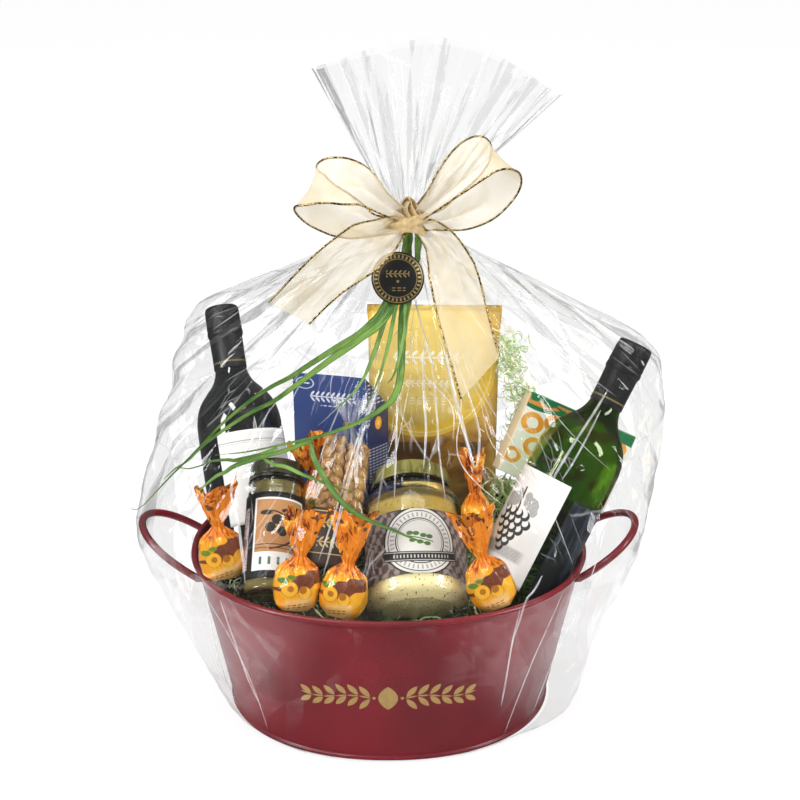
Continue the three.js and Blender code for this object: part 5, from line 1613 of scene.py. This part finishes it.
for side, (stops, sides) in LOOPS.items():
    path = [KNOT + leaning(*p) for p in through(stops, 110)]
    sides = [leaning(*s).normalized() for s in sides]

    def width_at(t):
        open_by = min(1, min(t, 1 - t) / 0.3)
        return 11 + (RIBBON_WIDTH - 11) * open_by * open_by * (3 - 2 * open_by)

    rows = ribbon_rows(path, lambda t, along: eased(sides, t), width_at)
    tie_ribbon(f"ribbon_loop_{side}", rows, f"bow_loop_{side}")
for side, route in TAILS.items():
    path = [KNOT + leaning(*p) for p in through(route, 70)]
    rows = ribbon_rows(path, lambda t, along: Vector((0, 1, 0)).cross(along) + Vector((0, 0.3 * math.sin(5 * t), 0)),
                       lambda t: 12 + (RIBBON_WIDTH - 12) * min(1, t * 2.2) ** 0.8, 24 if side == "right" else 9)
    tie_ribbon(f"ribbon_tail_{side}", rows, f"bow_tail_{side}")


def knot_wrap():
    """Bunched ribbon bound across the knot, a small ear over it, and a band round the neck behind it."""
    turns = []
    for start, end, radius, phase in (((-19, -3, 5), (9, -7, 9), 5.2, 0.0), ((-9, -9, 8), (14, 3, 10), 4.4, 1.3),
                                      ((-13, 2, 3), (12, -10, 6), 4.6, 2.6),
                                      ((-3.6, 1.3, -22), (-3, -1, 5), 7.2, 0.7), ((4, 1.6, -22), (3.4, -2, 5), 6.8, 2.1)):
        ends = [KNOT + leaning(*start), KNOT + leaning(*((np.array(start) + end) / 2 + (0, 1.5, 4.5))), KNOT + leaning(*end)]
        path = [Vector(p) for p in through(ends, 26)]
        points, faces = tube(path, lambda t, r=radius: r * (0.62 + 0.38 * math.sin(math.pi * t)), 40)
        fluted = []
        for i, p in enumerate(points):
            row = min(i // 40, len(path) - 1)
            flute = 1 + 0.13 * math.sin(5 * 2 * math.pi * (i % 40) / 40 + phase + 0.05 * row)
            fluted.append(tuple(path[row] + (Vector(p) - path[row]) * (flute if i < 40 * len(path) else 1)))
        turns.append((fluted, faces))
    ear = [KNOT + leaning(*p) for p in through([(2, -2, 12), (-3, 6, 13), (-1.5, 12.5, 12), (1.5, 12, 11), (4.5, 5, 12), (8, -1, 12)], 40)]
    ear_rows = ribbon_rows(ear, lambda t, along: leaning(0.8, 0.2, -0.5),
                           lambda t: 3.5 + 5 * math.sin(math.pi * t) ** 0.7)
    ear_shape = skin([[tuple(p) for p in row] for row in ear_rows], round_=False, ends=False)
    band = []
    for radius, z in rounded([(10.2, -6), (12.6, -5), (13.4, 0), (12.6, 5), (10.2, 6)]):
        band.append([(NECK[0] + radius * (1 + 0.02 * math.sin(5 * a)) * math.cos(a), NECK[1] + radius * math.sin(a),
                      NECK[2] + z + 0.6 * math.sin(3 * a)) for a in np.linspace(0, 2 * math.pi, 72, endpoint=False)])
    return joined([*turns, ear_shape, skin(band, ends=False)])


bunched, tree, principled = new_material("bunched_ribbon", Roughness=0.42, Sheen_Weight=0.5)
folds_tone = clouds(tree, stretched(tree, places(tree), (1, 1, 0.25)), 260, 3)
tree.links.new(tint(tree, folds_tone, (0.30, 0.19, 0.06), (0.74, 0.55, 0.27)), principled.inputs["Base Color"])
raise_surface(tree, principled, folds_tone, 0.5, 1.0)
knot = make_piece("bow_knot_wrap", knot_wrap(), bunched)
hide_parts("bow_knot")

# Tag and grass. A round glossy card in black and gold, hung at the knot over a
# spray of long ribbed grass leaves that lie down the front of the film.
TAG_RADIUS = 20.5
TAG_THICK = 1.2
tag_place = standing(on_film(7, 391, 14), (0, -0.93, 0.36))
tag_outline = [(0.5, 0), (TAG_RADIUS - 0.3, 0), (TAG_RADIUS, 0.3), (TAG_RADIUS, TAG_THICK - 0.3),
               (TAG_RADIUS - 0.3, TAG_THICK), (0.5, TAG_THICK)]
card, tree, principled = new_material("tag_card", Coat_Weight=0.8, Coat_Roughness=0.06)
where = places(tree)
split = put(tree, "ShaderNodeSeparateXYZ", {0: where})
across, up = [calc(tree, "DIVIDE", split.outputs[k], MM) for k in (0, 1)]
away = from_middle(tree, across, up, 0.0, 0.0)
turn = calc(tree, "ARCTAN2", up, across)
beads = both(tree, between(tree, away, 15.6, 18.0), spread(tree, calc(tree, "SINE", calc(tree, "MULTIPLY", turn, 34.0)), -0.1, 0.4))
rings = either(tree, between(tree, away, 18.6, 19.1), between(tree, away, 14.6, 15.0))
marks = either(tree, branch(tree, across, up, 0.0, 3.4, 9.0, 3.6, 2.6), below(tree, from_middle(tree, across, up, 0.0, -2.4), 1.0),
               drawn_rows(tree, across, up, (-10.2, -6.2), 1.5, -6.0, 6.0, 2.0))
printed = either(tree, beads, rings, marks)
gold_ink = tint(tree, clouds(tree, where, 500, 2), (0.36, 0.25, 0.07), (0.66, 0.50, 0.20))
ink = tint(tree, clouds(tree, where, 60, 2), (0.006, 0.006, 0.007), (0.014, 0.013, 0.012))
tree.links.new(tint(tree, printed, ink, gold_ink), principled.inputs["Base Color"])
tree.links.new(calc(tree, "MULTIPLY", printed, 0.7), principled.inputs["Metallic"])
tree.links.new(spread(tree, printed, 0.0, 1.0, 0.3, 0.36), principled.inputs["Roughness"])
tag = make_piece("tag_card", turned(tag_outline, 96), card, tag_place)
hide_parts("tag")

LEAVES = [
    (6.5, ((13, 404, 6), (-1, 376, 7), (-20, 353, 8), (-73, 318, 10), (-135, 269, 10), (-207, 184, 10))),
    (7.5, ((14, 404, 8), (3, 372, 9.5), (-19, 349, 13), (-80, 304, 13), (-138, 262, 13), (-172, 228, 12))),
    (8, ((17, 404, 5), (11, 363, 6), (8, 317, 7), (-10, 298, 7), (-53, 281, 7), (-134, 257, 6))),
    (6, ((-57, 278, 10), (-77, 269, 10), (-119, 253, 10), (-147, 229, 9))),
    (5.5, ((-59, 277, 6), (-55, 263, 6), (-31, 233, 6), (11, 214, 6), (33, 207, 6))),
    (5, ((11, 404, 3), (0, 369, 4), (-19, 322, 5), (-43, 297, 5))),
    (5, ((23, 404, 6), (18, 375, 9), (7, 331, 11), (0, 318, 11))),
    (4, ((-84, 270, 8), (-97, 264, 8), (-117, 258, 8), (-137, 252, 8), (-165, 239, 8))),
    (4, ((-101, 264, 5), (-88, 259, 5), (-76, 258, 5), (-50, 250, 5), (-24, 243, 5))),
    (4, ((13, 404, 11), (6, 372, 12), (0, 345, 11), (-7, 322, 9), (-18, 300, 8))),
    (4, ((21, 404, 10), (17, 388, 11), (15, 370, 11), (14, 349, 9), (10, 327, 8))),
]
KNOT_STOP = 424


def grass_blade(route, width, seed, thick=0.5, steps=110):
    """A long blade with a keel and shallow ribs, closed at its back."""
    if route[0][1] > 400:
        route = ((0.55 * route[0][0] + 0.45 * NECK[0], KNOT_STOP, route[0][2] + 5), *route)
    path = [on_film(x, z, lift) for x, z, lift in through(route, steps)]
    for _ in range(6):
        path[1:-1] = [(a + b * 2 + c) / 4 for a, b, c in zip(path, path[1:-1], path[2:])]
    rings, prints = [], []
    run = 0.0
    for i, p in enumerate(path):
        t = i / (len(path) - 1)
        along = (path[min(i + 1, len(path) - 1)] - path[max(i - 1, 0)]).normalized()
        run += (p - path[max(i - 1, 0)]).length
        side = Vector((0, 1, 0)).cross(along) + Vector((0, 0.45 * math.sin(5 * t + seed), 0))
        side = (side - along * side.dot(along)).normalized()
        face = along.cross(side).normalized()
        if face.y > 0:
            face = -face
        half = max(0.2, width * min(1, 0.5 + 3 * t, (2.2 * (1 - t)) ** 0.9)) / 2
        ring = []
        for k in range(9):
            s = k / 4 - 1
            ring.append(tuple(p + side * half * s + face * (0.16 * half * abs(s) + 0.25 * thick)))
            prints.append((s, run))
        for s in (1, 0, -1):
            ring.append(tuple(p + side * half * s * 0.96 + face * (0.16 * half * abs(s) - 0.75 * thick)))
            prints.append((s, run))
        rings.append(ring)
    points, faces = skin(rings)
    return (points, faces), prints + [(0, 0), (0, run)]


def grass_green():
    material, tree, principled = new_material("grass_green", Roughness=0.42, Coat_Weight=0.2, Coat_Roughness=0.25)
    split = put(tree, "ShaderNodeSeparateXYZ", {0: put(tree, "ShaderNodeUVMap", uv_map="print").outputs[0]})
    across, along = split.outputs[0], split.outputs[1]
    drift = clouds(tree, places(tree), 22, 3)
    streak = put(tree, "ShaderNodeCombineXYZ", {0: calc(tree, "MULTIPLY", across, 3.4),
                                                1: calc(tree, "MULTIPLY", along, 0.02)})
    ribs = clouds(tree, streak.outputs[0], 3.0, 3)
    # Painted light and shade: the green drifts at random between a shaded green and a lit green.
    colour = tint(tree, spread(tree, drift, 0.42, 0.58), (0.045, 0.150, 0.014), (0.165, 0.330, 0.048))
    colour = tint(tree, spread(tree, ribs, 0.50, 0.60, 0.0, 0.85), colour, (0.34, 0.54, 0.12))
    edge = spread(tree, calc(tree, "ABSOLUTE", across), 0.6, 1.0, 0.0, 0.75)
    colour = tint(tree, edge, colour, (0.030, 0.105, 0.012))
    tree.links.new(colour, principled.inputs["Base Color"])
    raise_surface(tree, principled, ribs, 0.6, 0.8)
    return material


leaf_green = grass_green()
for i, (width, route) in enumerate(LEAVES):
    shape, prints = grass_blade(route, 0.8 * width, i)
    blade = make_piece(f"leaf_{i + 1}_blade", shape, leaf_green, prints=prints)
    if f"leaf_{i + 1}" in bpy.data.objects:
        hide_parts(f"leaf_{i + 1}")

# Stage. A plain white floor, two large soft lamps, a soft top light and a
# camera above the goods at arm's length.
CAMERA_PLACE = Vector((9.6, -1141.9, 787.8)) * MM
CAMERA_AIM = Vector((9.6, 0, 279.4)) * MM
LENS = 68.1

floor_material, tree, principled = new_material("studio_floor", Roughness=0.9, Emission_Strength=0.79)
where, ray = places(tree), put(tree, "ShaderNodeLightPath")
pale = tint(tree, clouds(tree, where, 3, 1), (0.90, 0.90, 0.90), (0.92, 0.92, 0.92))
aside = calc(tree, "ABSOLUTE", put(tree, "ShaderNodeSeparateXYZ", {0: where}).outputs[0])
away = put(tree, "ShaderNodeVectorMath", {0: where}, operation="LENGTH").outputs["Value"]
beside = both(tree, spread(tree, aside, 0.10, 0.20), spread(tree, away, 0.40, 0.28))
mirrored = tint(tree, beside, (0.06, 0.06, 0.06), (0.95, 0.95, 0.95))
seen = tint(tree, ray.outputs["Is Camera Ray"], pale, (0.24, 0.24, 0.24))
tree.links.new(tint(tree, ray.outputs["Is Glossy Ray"], seen, mirrored), principled.inputs["Base Color"])
tree.links.new(tint(tree, ray.outputs["Is Camera Ray"], (0.0, 0.0, 0.0), (1.0, 1.0, 1.0)),
               principled.inputs["Emission Color"])
floor_mesh = bpy.data.meshes.new("studio_floor")
floor_mesh.from_pydata([(-6, -6, -0.0005), (6, -6, -0.0005), (6, 6, -0.0005), (-6, 6, -0.0005)], [], [(0, 1, 2, 3)])
floor_mesh.materials.append(floor_material)
floor = bpy.data.objects.new("studio_floor", floor_mesh)
bpy.context.scene.collection.objects.link(floor)


def soft_lamp(name, place, aim, size, power):
    data = bpy.data.lights.new(name, "AREA")
    data.shape, data.size, data.size_y, data.energy = "RECTANGLE", size[0], size[1], power
    lamp = bpy.data.objects.new(name, data)
    lamp.location = place
    lamp.rotation_euler = (Vector(aim) - Vector(place)).to_track_quat("-Z", "Y").to_euler()
    bpy.context.scene.collection.objects.link(lamp)
    return lamp


soft_lamp("lamp_left", (-1.3, -0.9, 1.1), (0, 0, 0.25), (0.3, 1.0), 15)
soft_lamp("lamp_right", (1.35, -0.8, 1.15), (0, 0, 0.25), (0.3, 1.0), 13)
soft_lamp("lamp_top", (0, 0.1, 1.9), (0, 0, 0.2), (1.4, 0.9), 14).visible_glossy = False
soft_lamp("window_light", (-0.45, -0.35, 1.5), (0, 0, 0.25), (0.42, 0.22), 4.0).visible_diffuse = False
world = bpy.data.worlds.new("studio")
bpy.context.scene.world = world
world.use_nodes = True
tree = world.node_tree
ray = put(tree, "ShaderNodeLightPath")
dimmed = calc(tree, "ADD", calc(tree, "MULTIPLY", ray.outputs["Is Glossy Ray"], 0.88),
              calc(tree, "MULTIPLY", ray.outputs["Is Diffuse Ray"], 0.2))
tree.nodes["Background"].inputs["Color"].default_value = (1, 1, 1, 1)
tree.links.new(calc(tree, "SUBTRACT", 1.0, dimmed), tree.nodes["Background"].inputs["Strength"])

camera_data = bpy.data.cameras.new("camera")
camera_data.lens = LENS
camera_data.sensor_width = 36
camera = bpy.data.objects.new("camera", camera_data)
camera.location = CAMERA_PLACE
camera.rotation_euler = (CAMERA_AIM - CAMERA_PLACE).to_track_quat("-Z", "Y").to_euler()
bpy.context.scene.collection.objects.link(camera)
bpy.context.scene.camera = camera
bpy.context.scene.view_settings.view_transform = "Standard"
bpy.context.view_layer.update()
